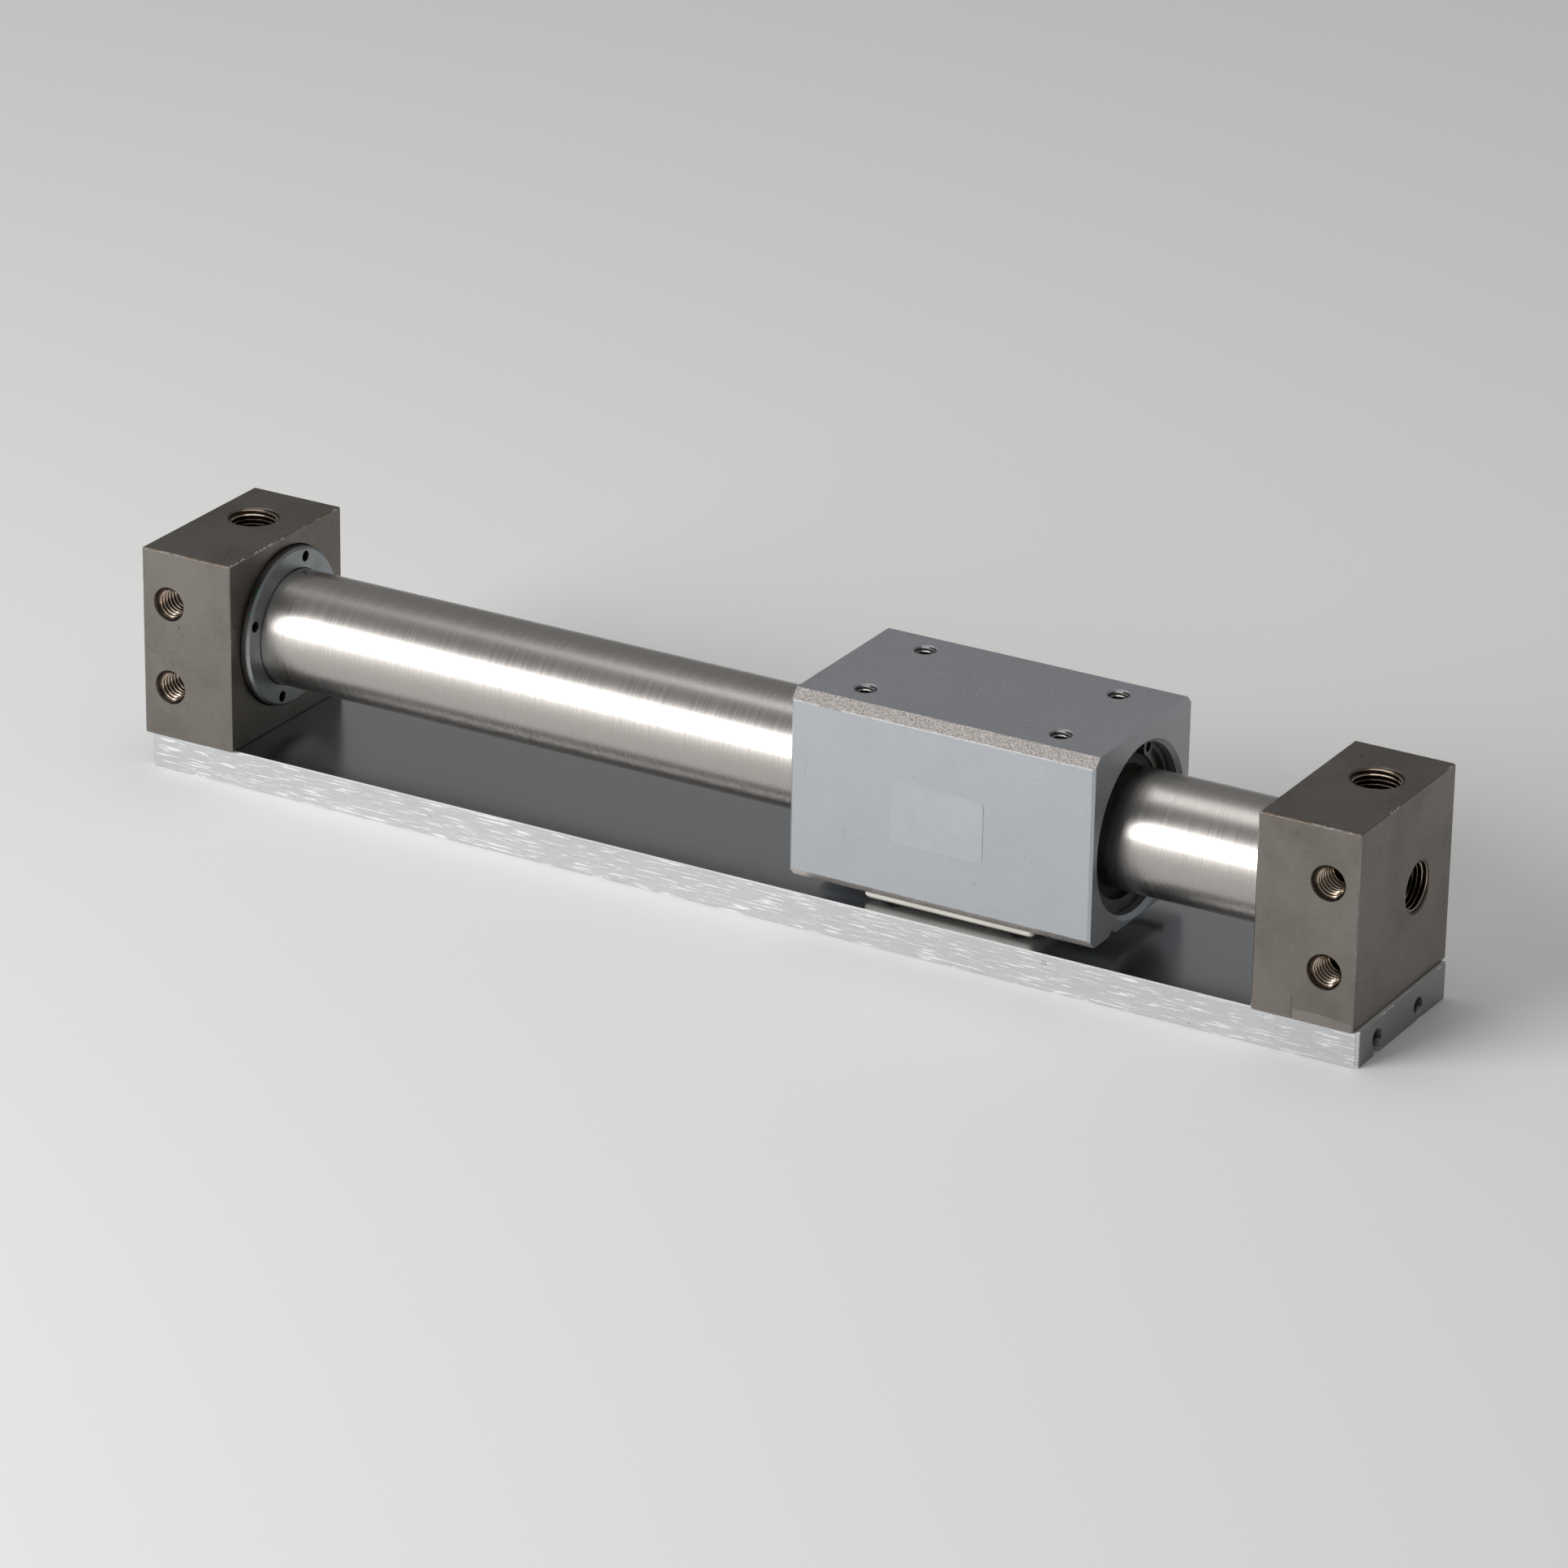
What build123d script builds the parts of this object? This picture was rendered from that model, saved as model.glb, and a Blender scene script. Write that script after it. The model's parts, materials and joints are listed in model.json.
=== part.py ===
from build123d import *
import os
from math import cos, radians, sin

os.makedirs("parts", exist_ok=True)

# Magnetically coupled rodless pneumatic cylinder with a switch rail under it.
# Origin: mid-length, on the tube's vertical plane, at the underside of the rail.
# +X runs along the tube to the right end plate, +Y to the back, +Z up. Millimetres.

# Driving dimensions of the whole cylinder
stroke = 150.0
slider_length = 62.0
end_clearance = 2.5  # slider to end plate, at each end of the stroke
slider_at_rest = 45.0  # slider centre from mid-length
plate_thickness = 20.0
plate_width = 38.0
plate_height = 38.0
axis_above_rail = 20.0
edge_break = 0.25

# Tube
tube_bore = 20.0
tube_wall = 1.4
tube_end_chamfer = 0.3
tube_end_gap = 0.1  # tube end to the floor of its seat
tube_fit = 0.05  # radial clearance of the tube in its seats

# Switch rail
rail_width = 36.0
rail_height = 7.0
rail_shift = 0.8  # the rail stands out this far past the right end plate
rail_end_chamfer = 0.6
slot_from_edge = 7.8
slot_diameter = 3.8
slot_height = 3.1
slot_mouth = 2.8
passage_from_edge = 11.5
passage_diameter = 3.4
passage_height = 2.8

# Rail screws
rail_screw = 3.0
rail_screw_head = 5.5
rail_screw_head_height = 3.0
rail_screw_grip = 6.0  # thread in the end plate
rail_screw_from_end = 10.0
rail_screw_socket = 2.5
screw_clearance = 0.2
head_clearance = 0.25
head_sink = 0.4  # screw head below the rail's underside
thread_fit = 0.02  # radial clearance of a screw in its tapped hole

# Ports, tapped 1/8 inch taper thread
port_diameter = 9.73
port_mouth = 10.3
port_from_end = 9.0
port_offset = 5.5  # behind the tube's plane
port_thread_depth = 9.2
end_port_thread_depth = 5.5
port_drill = 8.6
port_passage = 6.0
air_hole = 4.5
air_wall = 1.5  # end port's floor to the tube's seat

# Mounting holes in the end plates' sides, M6
side_hole = 6.0
side_hole_mouth = 6.8
side_hole_depth = 8.0
side_hole_from_end = 6.0
side_hole_pitch = 17.0

# What holds the tube in the end plate
gasket_section = 1.1
gasket_room = 0.5  # groove length beyond the gasket's section
gasket_land = 0.5  # tube seat each side of the gasket groove
clip_thickness = 1.0
clip_groove_depth = 0.5
clip_diameter = 27.0
clip_gap = 30.0  # degrees
ring_diameter = 31.4
ring_engagement = 2.4
ring_protrusion = 1.7
ring_bevel = 0.6
ring_fit = 0.05
ring_tube_gap = 0.15
ring_mouth_chamfer = 0.2
spanner_hole = 2.2
spanner_hole_depth = 2.0
spanner_hole_circle = 27.4
spanner_hole_angle = 72.0  # first hole, from +Y towards +Z

# Slider body
slider_width = 37.5
slider_above_axis = 20.0
slider_below_axis = 17.0
slider_chamfer = 2.0
slider_end_bevel = 0.5
slider_bore = 32.0
slider_mouth_chamfer = 0.8
vee_offset = 9.9
vee_width = 2.7
vee_depth = 1.1

# Load holes in the slider's top, M4
load_hole = 4.0
load_hole_mouth = 4.6
load_hole_depth = 6.0
load_hole_pitch_x = 40.0
load_hole_pitch_y = 22.0

# Internal circlip of the slider
circlip_land = 2.3
circlip_thickness = 1.2
circlip_groove = 33.2
circlip_groove_play = 0.1
circlip_fit = 0.1
circlip_inner = 28.6
circlip_eccentricity = 0.9
circlip_gap = 8.0
lug_angle = 26.4  # each side of the top
lug_radius = 1.7
lug_hole = 1.9

# Magnetic coupling, the same stack of yokes and magnets outside and inside the tube
magnet_count = 4
yoke_length = 4.0  # the magnets fill the rest of the stack
yoke_gap = 0.3  # radial, yoke to tube
magnet_gap = 0.5  # radial, magnet to tube
stack_fit = 0.1  # radial, outer stack in the slider's bore

# Wear rings, scrapers and lube retainers
slide_fit = 0.05  # radial clearance of what slides on the tube
wear_ring_wall = 1.0
wear_ring_width = 2.4
wear_ring_split = 5.0  # degrees
groove_play = 0.1
scraper_wall = 1.9
scraper_length = 2.7
scraper_recess = 0.2
scraper_body = 1.3
retainer_wall = 1.5
retainer_width = 1.7
collar_web = 0.8

# Slide pad under the slider, with the sensor magnet in it
pad_length = 35.0
pad_width = 29.5
pad_thickness = 2.2
pad_corner = 1.0
pad_edge = 0.5
sensor_magnet_length = 8.0
sensor_magnet_width = 4.0
sensor_magnet_height = 1.5
magnet_pocket_play = 0.1
pad_screw = 2.0
pad_screw_head = 3.8
pad_screw_grip = 3.4
pad_screw_pitch_x = 26.0
pad_screw_pitch_y = 22.0
pad_screw_slot = 0.5

# Piston
piston_fit = 0.2  # radial, piston head to tube
bumper_gap = 0.5  # bumper to end plate at the end of the stroke
bumper_length = 5.0
bumper_wall_gap = 2.0
bumper_rounding = 0.8
bumper_hole = 7.0
spigot_length = 1.0
shaft_diameter = 8.0
shaft_thread = 6.0
shaft_shoulder = 1.5  # shaft diameter carried into each head
shaft_fit = 0.05
piston_wear_width = 3.4
piston_wear_wall = 0.9
piston_seal_width = 2.9
piston_seal_wall = 2.1
seal_lip = 0.5
piston_web = 1.5
nut_across_flats = 10.0
nut_height = 2.8
nut_recess = 13.0

# Derived sizes of the frame
overall_length = stroke + slider_length + 2 * end_clearance + 2 * plate_thickness
axis_height = rail_height + axis_above_rail
plate_top = rail_height + plate_height
plate_middle = rail_height + plate_height / 2
tube_diameter = tube_bore + 2 * tube_wall
tube_radius = tube_diameter / 2
bore_radius = tube_bore / 2
tube_axis = Axis((0, 0, axis_height), (1, 0, 0))
axis_plane = Plane(origin=(0, 0, axis_height), x_dir=(0, 1, 0), z_dir=(1, 0, 0))

# Depths in an end plate, from its inner face
ring_seat_depth = clip_thickness + ring_engagement
gasket_groove_length = gasket_section + gasket_room
tube_seat_depth = ring_seat_depth + gasket_groove_length + 2 * gasket_land
floor_depth = plate_thickness - tube_seat_depth  # from the outer face

# Derived sizes of the rail
rail_left = -overall_length / 2 + rail_shift
slot_y = -rail_width / 2 + slot_from_edge
passage_y = rail_width / 2 - passage_from_edge
rail_screw_ys = ((slot_y + passage_y) / 2, (passage_y + rail_width / 2) / 2)
rail_screw_xs = (
    -overall_length / 2 + rail_screw_from_end,
    overall_length / 2 - rail_screw_from_end,
)
rail_screw_places = [(x, y) for x in rail_screw_xs for y in rail_screw_ys]
counterbore_depth = rail_screw_head_height + head_sink

# Derived sizes of the slider
slider_left = slider_at_rest - slider_length / 2
slider_top = axis_height + slider_above_axis
slider_bottom = axis_height - slider_below_axis
slide_radius = tube_radius + slide_fit

# Depths in the slider, from its end face
collar_start = circlip_land + circlip_groove_play + circlip_thickness
scraper_seat_end = collar_start + scraper_recess + scraper_length
wear_start = scraper_seat_end + collar_web
wear_end = wear_start + wear_ring_width + groove_play
retainer_start = wear_end + collar_web
collar_end = retainer_start + groove_play + retainer_width
stack_length = slider_length - 2 * collar_end
magnet_length = (stack_length - (magnet_count + 1) * yoke_length) / magnet_count

# Derived sizes of the piston
piston_length = overall_length - 2 * floor_depth - stroke - 2 * bumper_gap
head_length = (piston_length - stack_length) / 2 - bumper_length
piston_radius = bore_radius - piston_fit
seal_radius = bore_radius - slide_fit


def turned_face(points):
    # Half section of a turned piece, from points of (X, radius about the tube's axis)
    with BuildSketch(Plane.XZ) as face:
        with BuildLine():
            Polyline([(x, axis_height + r) for x, r in points], close=True)
        make_face()
    return face.sketch


def ring_face(x, outer_radius, inner_radius):
    # Ring across the tube's axis at X
    with BuildSketch(axis_plane.offset(x)) as face:
        Circle(outer_radius)
        Circle(inner_radius, mode=Mode.SUBTRACT)
    return face.sketch


def save(builder, name):
    builder.part.label = name
    export_step(builder.part, f"parts/{name}.step")


sides = (("left", -1), ("right", 1))

# End plates, with what holds the tube in them
for side, sign in sides:
    outer_face = sign * overall_length / 2

    def at_depth(depth):
        # X of a point this deep from the plate's outer face
        return outer_face - sign * depth

    inner_face = at_depth(plate_thickness)
    ring_seat = at_depth(plate_thickness - ring_seat_depth)
    seat_radius = tube_radius + tube_fit
    groove_radius = tube_radius + gasket_section
    groove_near = floor_depth + gasket_land
    groove_far = groove_near + gasket_groove_length

    with BuildPart() as end_plate:
        with BuildSketch(Plane.XY.offset(rail_height)):
            with Locations(((outer_face + inner_face) / 2, 0)):
                Rectangle(plate_thickness, plate_width)
        extrude(amount=plate_height)
        chamfer(end_plate.edges(), edge_break)

        # Stepped bore for the tube, its gasket and the attachment ring
        ring_bore_radius = ring_diameter / 2 + ring_fit
        bore_section = turned_face(
            [
                (at_depth(floor_depth), 0),
                (at_depth(floor_depth), seat_radius),
                (at_depth(groove_near), seat_radius),
                (at_depth(groove_near), groove_radius),
                (at_depth(groove_far), groove_radius),
                (at_depth(groove_far), seat_radius),
                (ring_seat, seat_radius),
                (ring_seat, ring_bore_radius),
                (at_depth(plate_thickness - ring_mouth_chamfer), ring_bore_radius),
                (inner_face, ring_bore_radius + ring_mouth_chamfer),
                (inner_face, 0),
            ]
        )
        revolve(bore_section, axis=tube_axis, mode=Mode.SUBTRACT)

        # Top port, with its passage down to the end port
        with Locations(Plane(origin=(at_depth(port_from_end), port_offset, plate_top), z_dir=(0, 0, 1))):
            CounterSinkHole(port_diameter / 2, port_mouth / 2, port_thread_depth, 90)
            Hole(port_passage / 2, plate_top - axis_height)

        # End port at the plate's middle, drilled to its floor, with the air hole on into the tube
        with Locations(Plane(origin=(outer_face, port_offset, plate_middle), z_dir=(sign, 0, 0))):
            CounterSinkHole(port_diameter / 2, port_mouth / 2, end_port_thread_depth, 90)
            Hole(port_drill / 2, floor_depth - air_wall)
            Hole(air_hole / 2, floor_depth + tube_end_gap)

        # Mounting holes in the front and back sides
        side_planes = [
            Plane(
                origin=(
                    at_depth(side_hole_from_end),
                    face * plate_width / 2,
                    plate_middle + level * side_hole_pitch / 2,
                ),
                z_dir=(0, face, 0),
            )
            for face in (-1, 1)
            for level in (-1, 1)
        ]
        with Locations(*side_planes):
            CounterSinkHole(side_hole / 2, side_hole_mouth / 2, side_hole_depth, 90)

        # Tapped holes for the rail screws
        screw_planes = [
            Plane(origin=(at_depth(rail_screw_from_end), y, rail_height), z_dir=(0, 0, -1))
            for y in rail_screw_ys
        ]
        with Locations(*screw_planes):
            Hole(rail_screw / 2 + thread_fit, rail_screw_grip + head_clearance)
    save(end_plate, f"{side}_end_plate")

    # Attachment ring, screwed in round the tube to clamp its clip
    clip_face = ring_seat - sign * clip_thickness
    ring_face_x = inner_face - sign * ring_protrusion
    ring_inner_radius = tube_radius + ring_tube_gap
    with BuildPart() as attachment_ring:
        ring_section = turned_face(
            [
                (clip_face, ring_inner_radius),
                (clip_face, ring_diameter / 2),
                (ring_face_x + sign * ring_bevel, ring_diameter / 2),
                (ring_face_x, ring_diameter / 2 - ring_bevel),
                (ring_face_x, ring_inner_radius),
            ]
        )
        revolve(ring_section, axis=tube_axis)
        with BuildSketch(axis_plane.offset(ring_face_x)):
            with PolarLocations(spanner_hole_circle / 2, 4, start_angle=spanner_hole_angle):
                Circle(spanner_hole / 2)
        extrude(amount=sign * spanner_hole_depth, mode=Mode.SUBTRACT)
    save(attachment_ring, f"{side}_attachment_ring")

    # Clip in the tube's groove
    with BuildPart() as tube_clip:
        clip_inner = tube_radius - clip_groove_depth
        clip_section = turned_face(
            [
                (ring_seat, clip_inner),
                (ring_seat, clip_diameter / 2),
                (clip_face, clip_diameter / 2),
                (clip_face, clip_inner),
            ]
        )
        revolve(clip_section, axis=tube_axis, revolution_arc=360 - clip_gap)
    save(tube_clip, f"{side}_tube_clip")

    # Gasket round the tube's end
    with BuildPart() as tube_gasket:
        with BuildSketch(Plane.XZ):
            with Locations(
                (at_depth((groove_near + groove_far) / 2), axis_height + tube_radius + gasket_section / 2)
            ):
                Circle(gasket_section / 2)
        revolve(axis=tube_axis)
    save(tube_gasket, f"{side}_tube_gasket")

# Tube, with a groove for the clip near each end
tube_end = overall_length / 2 - floor_depth - tube_end_gap
groove_start = overall_length / 2 - plate_thickness + ring_seat_depth
groove_end = groove_start - clip_thickness
groove_floor = tube_radius - clip_groove_depth
right_half_outline = [
    (groove_end, tube_radius),
    (groove_end, groove_floor),
    (groove_start, groove_floor),
    (groove_start, tube_radius),
    (tube_end - tube_end_chamfer, tube_radius),
    (tube_end, tube_radius - tube_end_chamfer),
    (tube_end, bore_radius),
]
left_half_outline = [(-x, r) for x, r in reversed(right_half_outline)]
with BuildPart() as cylinder_tube:
    revolve(turned_face(left_half_outline + right_half_outline), axis=tube_axis)
save(cylinder_tube, "cylinder_tube")

# Switch rail, an extrusion with a sensor slot open below and a passage through its back
with BuildPart() as switch_rail:
    with BuildSketch(Plane.YZ.offset(rail_left)):
        with Locations((0, rail_height / 2)):
            Rectangle(rail_width, rail_height)
    extrude(amount=overall_length)
    chamfer(switch_rail.edges().filter_by(Axis.Z), rail_end_chamfer)
    chamfer(switch_rail.faces().sort_by(Axis.Z)[-1].edges().filter_by(Axis.X), edge_break)
    with BuildSketch(Plane.YZ.offset(rail_left)):
        with Locations((slot_y, slot_height)):
            Circle(slot_diameter / 2)
        with Locations((slot_y, slot_height / 2)):
            Rectangle(slot_mouth, slot_height)
        with Locations((passage_y, passage_height)):
            Circle(passage_diameter / 2)
    extrude(amount=overall_length, mode=Mode.SUBTRACT)
    with Locations(*[Plane(origin=(x, y, 0), z_dir=(0, 0, -1)) for x, y in rail_screw_places]):
        CounterBoreHole(
            rail_screw / 2 + screw_clearance,
            rail_screw_head / 2 + head_clearance,
            counterbore_depth,
            rail_height,
        )
save(switch_rail, "switch_rail")

# Socket head screws that hold the rail to the end plates
with BuildPart() as rail_screws:
    with BuildSketch(Plane.XY.offset(head_sink)):
        with Locations(*rail_screw_places):
            Circle(rail_screw_head / 2)
    extrude(amount=rail_screw_head_height)
    with BuildSketch(Plane.XY.offset(counterbore_depth)):
        with Locations(*rail_screw_places):
            Circle(rail_screw / 2)
    extrude(amount=rail_height - counterbore_depth + rail_screw_grip)
    with BuildSketch(Plane.XY.offset(head_sink)):
        with Locations(*rail_screw_places):
            RegularPolygon(rail_screw_socket / 2, 6, major_radius=False)
    extrude(amount=rail_screw_head_height / 2, mode=Mode.SUBTRACT)
save(rail_screws, "rail_screws")

# Slider body, an extrusion bored right through
with BuildPart() as slider_body:
    with BuildSketch(Plane.YZ.offset(slider_left)) as slider_section:
        with Locations((0, (slider_top + slider_bottom) / 2)):
            Rectangle(slider_width, slider_top - slider_bottom)
        chamfer(slider_section.vertices(), slider_chamfer)
        for side, sign in sides:
            with BuildLine():
                Polyline(
                    (sign * vee_offset - vee_width / 2, slider_bottom),
                    (sign * vee_offset, slider_bottom + vee_depth),
                    (sign * vee_offset + vee_width / 2, slider_bottom),
                    close=True,
                )
            make_face(mode=Mode.SUBTRACT)
    extrude(amount=slider_length)
    chamfer(slider_body.edges().filter_by(Axis.Z), slider_end_bevel)

    # Bore with its mouths
    bore_half = slider_length / 2
    mouth_radius = slider_bore / 2 + slider_mouth_chamfer
    slider_bore_section = turned_face(
        [
            (slider_at_rest - bore_half, 0),
            (slider_at_rest - bore_half, mouth_radius),
            (slider_at_rest - bore_half + slider_mouth_chamfer, slider_bore / 2),
            (slider_at_rest + bore_half - slider_mouth_chamfer, slider_bore / 2),
            (slider_at_rest + bore_half, mouth_radius),
            (slider_at_rest + bore_half, 0),
        ]
    )
    revolve(slider_bore_section, axis=tube_axis, mode=Mode.SUBTRACT)

    # Circlip grooves
    for side, sign in sides:
        groove_x = slider_at_rest + sign * (bore_half - circlip_land)
        extrude(
            ring_face(groove_x, circlip_groove / 2, slider_bore / 2 - circlip_fit),
            amount=-sign * (circlip_thickness + circlip_groove_play),
            mode=Mode.SUBTRACT,
        )

    # Load holes
    with Locations(Plane(origin=(slider_at_rest, 0, slider_top), z_dir=(0, 0, 1))):
        with GridLocations(load_hole_pitch_x, load_hole_pitch_y, 2, 2):
            CounterSinkHole(load_hole / 2, load_hole_mouth / 2, load_hole_depth, 90)

    # Tapped holes for the pad screws
    with Locations(Plane(origin=(slider_at_rest, 0, slider_bottom), z_dir=(0, 0, -1))):
        with GridLocations(pad_screw_pitch_x, pad_screw_pitch_y, 2, 2):
            Hole(pad_screw / 2 + thread_fit, pad_screw_grip + head_clearance)
save(slider_body, "slider_body")

# What closes and guides each end of the slider
for side, sign in sides:
    slider_end = slider_at_rest + sign * slider_length / 2

    def in_slider(depth):
        # X of a point this deep from the slider's end face
        return slider_end - sign * depth

    # Circlip, widest opposite its gap
    with BuildPart() as circlip:
        lug_circle = circlip_groove / 2 - circlip_fit - lug_radius
        lug_places = [
            (lug_circle * sin(radians(angle)), lug_circle * cos(radians(angle)))
            for angle in (-lug_angle, lug_angle)
        ]
        with BuildSketch(axis_plane.offset(in_slider(collar_start))):
            Circle(circlip_groove / 2 - circlip_fit)
            with Locations((0, circlip_eccentricity)):
                Circle(circlip_inner / 2, mode=Mode.SUBTRACT)
            with Locations(*lug_places):
                Circle(lug_radius)
                Circle(lug_hole / 2, mode=Mode.SUBTRACT)
            with Locations((0, lug_circle)):
                Rectangle(circlip_gap, 2 * lug_radius + 2 * circlip_fit, mode=Mode.SUBTRACT)
        extrude(amount=sign * circlip_thickness)
    save(circlip, f"{side}_circlip")

    # Collar, bored for the scraper, the wear ring and the lube retainer
    web_radius = tube_radius + yoke_gap
    scraper_outer = slide_radius + scraper_wall
    wear_outer = slide_radius + wear_ring_wall
    retainer_outer = slide_radius + retainer_wall
    with BuildPart() as collar:
        collar_section = turned_face(
            [
                (in_slider(collar_start), scraper_outer + slide_fit),
                (in_slider(collar_start), slider_bore / 2 - slide_fit),
                (in_slider(collar_end), slider_bore / 2 - slide_fit),
                (in_slider(collar_end), retainer_outer + slide_fit),
                (in_slider(retainer_start), retainer_outer + slide_fit),
                (in_slider(retainer_start), web_radius),
                (in_slider(wear_end), web_radius),
                (in_slider(wear_end), wear_outer + slide_fit),
                (in_slider(wear_start), wear_outer + slide_fit),
                (in_slider(wear_start), web_radius),
                (in_slider(scraper_seat_end), web_radius),
                (in_slider(scraper_seat_end), scraper_outer + slide_fit),
            ]
        )
        revolve(collar_section, axis=tube_axis)
    save(collar, f"{side}_collar")

    # Scraper, a lip that wipes the tube
    with BuildPart() as scraper:
        lip_start = collar_start + scraper_recess
        scraper_section = turned_face(
            [
                (in_slider(scraper_seat_end), scraper_outer),
                (in_slider(lip_start + scraper_recess), scraper_outer),
                (in_slider(lip_start + scraper_recess), scraper_outer - scraper_body / 2),
                (in_slider(lip_start), slide_radius),
                (in_slider(lip_start + scraper_recess), slide_radius),
                (in_slider(lip_start + scraper_length / 2), scraper_outer - scraper_body),
                (in_slider(scraper_seat_end), scraper_outer - scraper_body),
            ]
        )
        revolve(scraper_section, axis=tube_axis)
    save(scraper, f"{side}_scraper")

    # Wear ring, a split band in the collar's groove
    with BuildPart() as slider_wear_ring:
        band_near = wear_start + groove_play / 2
        band_section = turned_face(
            [
                (in_slider(band_near), slide_radius),
                (in_slider(band_near), wear_outer),
                (in_slider(band_near + wear_ring_width), wear_outer),
                (in_slider(band_near + wear_ring_width), slide_radius),
            ]
        )
        revolve(band_section, axis=tube_axis, revolution_arc=360 - wear_ring_split)
    save(slider_wear_ring, f"{side}_slider_wear_ring")

    # Lube retainer, a felt ring next to the magnets
    with BuildPart() as lube_retainer:
        extrude(
            ring_face(in_slider(collar_end - retainer_width), retainer_outer, slide_radius),
            amount=-sign * retainer_width,
        )
    save(lube_retainer, f"{side}_lube_retainer")

# Magnetic coupling: yokes and magnets in turn, the outer ring of each on the slider, the inner on the shaft
stack_left = slider_at_rest - stack_length / 2
stack_pitch = yoke_length + magnet_length
outer_stack_radius = slider_bore / 2 - stack_fit
shaft_hole_radius = shaft_diameter / 2 + shaft_fit
for number in range(1, magnet_count + 2):
    yoke_x = stack_left + (number - 1) * stack_pitch
    with BuildPart() as outer_yoke:
        extrude(ring_face(yoke_x, outer_stack_radius, tube_radius + yoke_gap), amount=yoke_length)
    save(outer_yoke, f"outer_yoke_{number}")
    with BuildPart() as inner_yoke:
        extrude(ring_face(yoke_x, bore_radius - yoke_gap, shaft_hole_radius), amount=yoke_length)
    save(inner_yoke, f"inner_yoke_{number}")

for number in range(1, magnet_count + 1):
    magnet_x = stack_left + (number - 1) * stack_pitch + yoke_length
    with BuildPart() as outer_magnet:
        extrude(ring_face(magnet_x, outer_stack_radius, tube_radius + magnet_gap), amount=magnet_length)
    save(outer_magnet, f"outer_magnet_{number}")
    with BuildPart() as inner_magnet:
        extrude(ring_face(magnet_x, bore_radius - magnet_gap, shaft_hole_radius), amount=magnet_length)
    save(inner_magnet, f"inner_magnet_{number}")

# Slide pad, screwed under the slider over the rail
pad_bottom = slider_bottom - pad_thickness
with BuildPart() as slide_pad:
    with BuildSketch(Plane.XY.offset(pad_bottom)) as pad_outline:
        with Locations((slider_at_rest, 0)):
            Rectangle(pad_length, pad_width)
        fillet(pad_outline.vertices(), pad_corner)
    extrude(amount=pad_thickness)
    chamfer(slide_pad.faces().sort_by(Axis.Z)[0].edges(), pad_edge)
    with BuildSketch(Plane.XY.offset(slider_bottom)):
        with Locations((slider_at_rest, slot_y)):
            Rectangle(sensor_magnet_length + magnet_pocket_play, sensor_magnet_width + magnet_pocket_play)
    extrude(amount=-sensor_magnet_height, mode=Mode.SUBTRACT)
    with Locations(Plane(origin=(slider_at_rest, 0, pad_bottom), z_dir=(0, 0, -1))):
        with GridLocations(pad_screw_pitch_x, pad_screw_pitch_y, 2, 2):
            CounterSinkHole(pad_screw / 2 + thread_fit, pad_screw_head / 2 + thread_fit, pad_thickness, 90)
save(slide_pad, "slide_pad")

# Sensor magnet, over the rail's slot
with BuildPart() as sensor_magnet:
    with BuildSketch(Plane.XY.offset(slider_bottom - sensor_magnet_height)):
        with Locations((slider_at_rest, slot_y)):
            Rectangle(sensor_magnet_length, sensor_magnet_width)
    extrude(amount=sensor_magnet_height)
save(sensor_magnet, "sensor_magnet")

# Countersunk screws of the pad
with BuildPart() as pad_screws:
    head_height = (pad_screw_head - pad_screw) / 2
    screw_end = slider_bottom + pad_screw_grip
    with BuildSketch(Plane.XZ) as screw_half:
        with BuildLine():
            Polyline(
                (0, pad_bottom),
                (pad_screw_head / 2, pad_bottom),
                (pad_screw / 2, pad_bottom + head_height),
                (pad_screw / 2, screw_end),
                (0, screw_end),
                close=True,
            )
        make_face()
    screw = revolve(screw_half.sketch, axis=Axis.Z, mode=Mode.PRIVATE)
    with Locations((slider_at_rest, 0)):
        with GridLocations(pad_screw_pitch_x, pad_screw_pitch_y, 2, 2):
            add(screw)
    with BuildSketch(Plane.XY.offset(pad_bottom)):
        with Locations((slider_at_rest, 0)):
            with GridLocations(pad_screw_pitch_x, pad_screw_pitch_y, 2, 2):
                Rectangle(pad_screw_head, pad_screw_slot)
                Rectangle(pad_screw_slot, pad_screw_head)
    extrude(amount=pad_screw_slot, mode=Mode.SUBTRACT)
save(pad_screws, "pad_screws")

# Piston shaft, turned down at each end for the heads and their nuts
recess_depth = nut_height + shaft_fit + spigot_length
shaft_half = stack_length / 2 + head_length - spigot_length
shoulder_half = stack_length / 2 + shaft_shoulder
with BuildPart() as piston_shaft:
    shaft_section = turned_face(
        [
            (slider_at_rest - shaft_half, 0),
            (slider_at_rest - shaft_half, shaft_thread / 2),
            (slider_at_rest - shoulder_half, shaft_thread / 2),
            (slider_at_rest - shoulder_half, shaft_diameter / 2),
            (slider_at_rest + shoulder_half, shaft_diameter / 2),
            (slider_at_rest + shoulder_half, shaft_thread / 2),
            (slider_at_rest + shaft_half, shaft_thread / 2),
            (slider_at_rest + shaft_half, 0),
        ]
    )
    revolve(shaft_section, axis=tube_axis)
save(piston_shaft, "piston_shaft")

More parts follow.
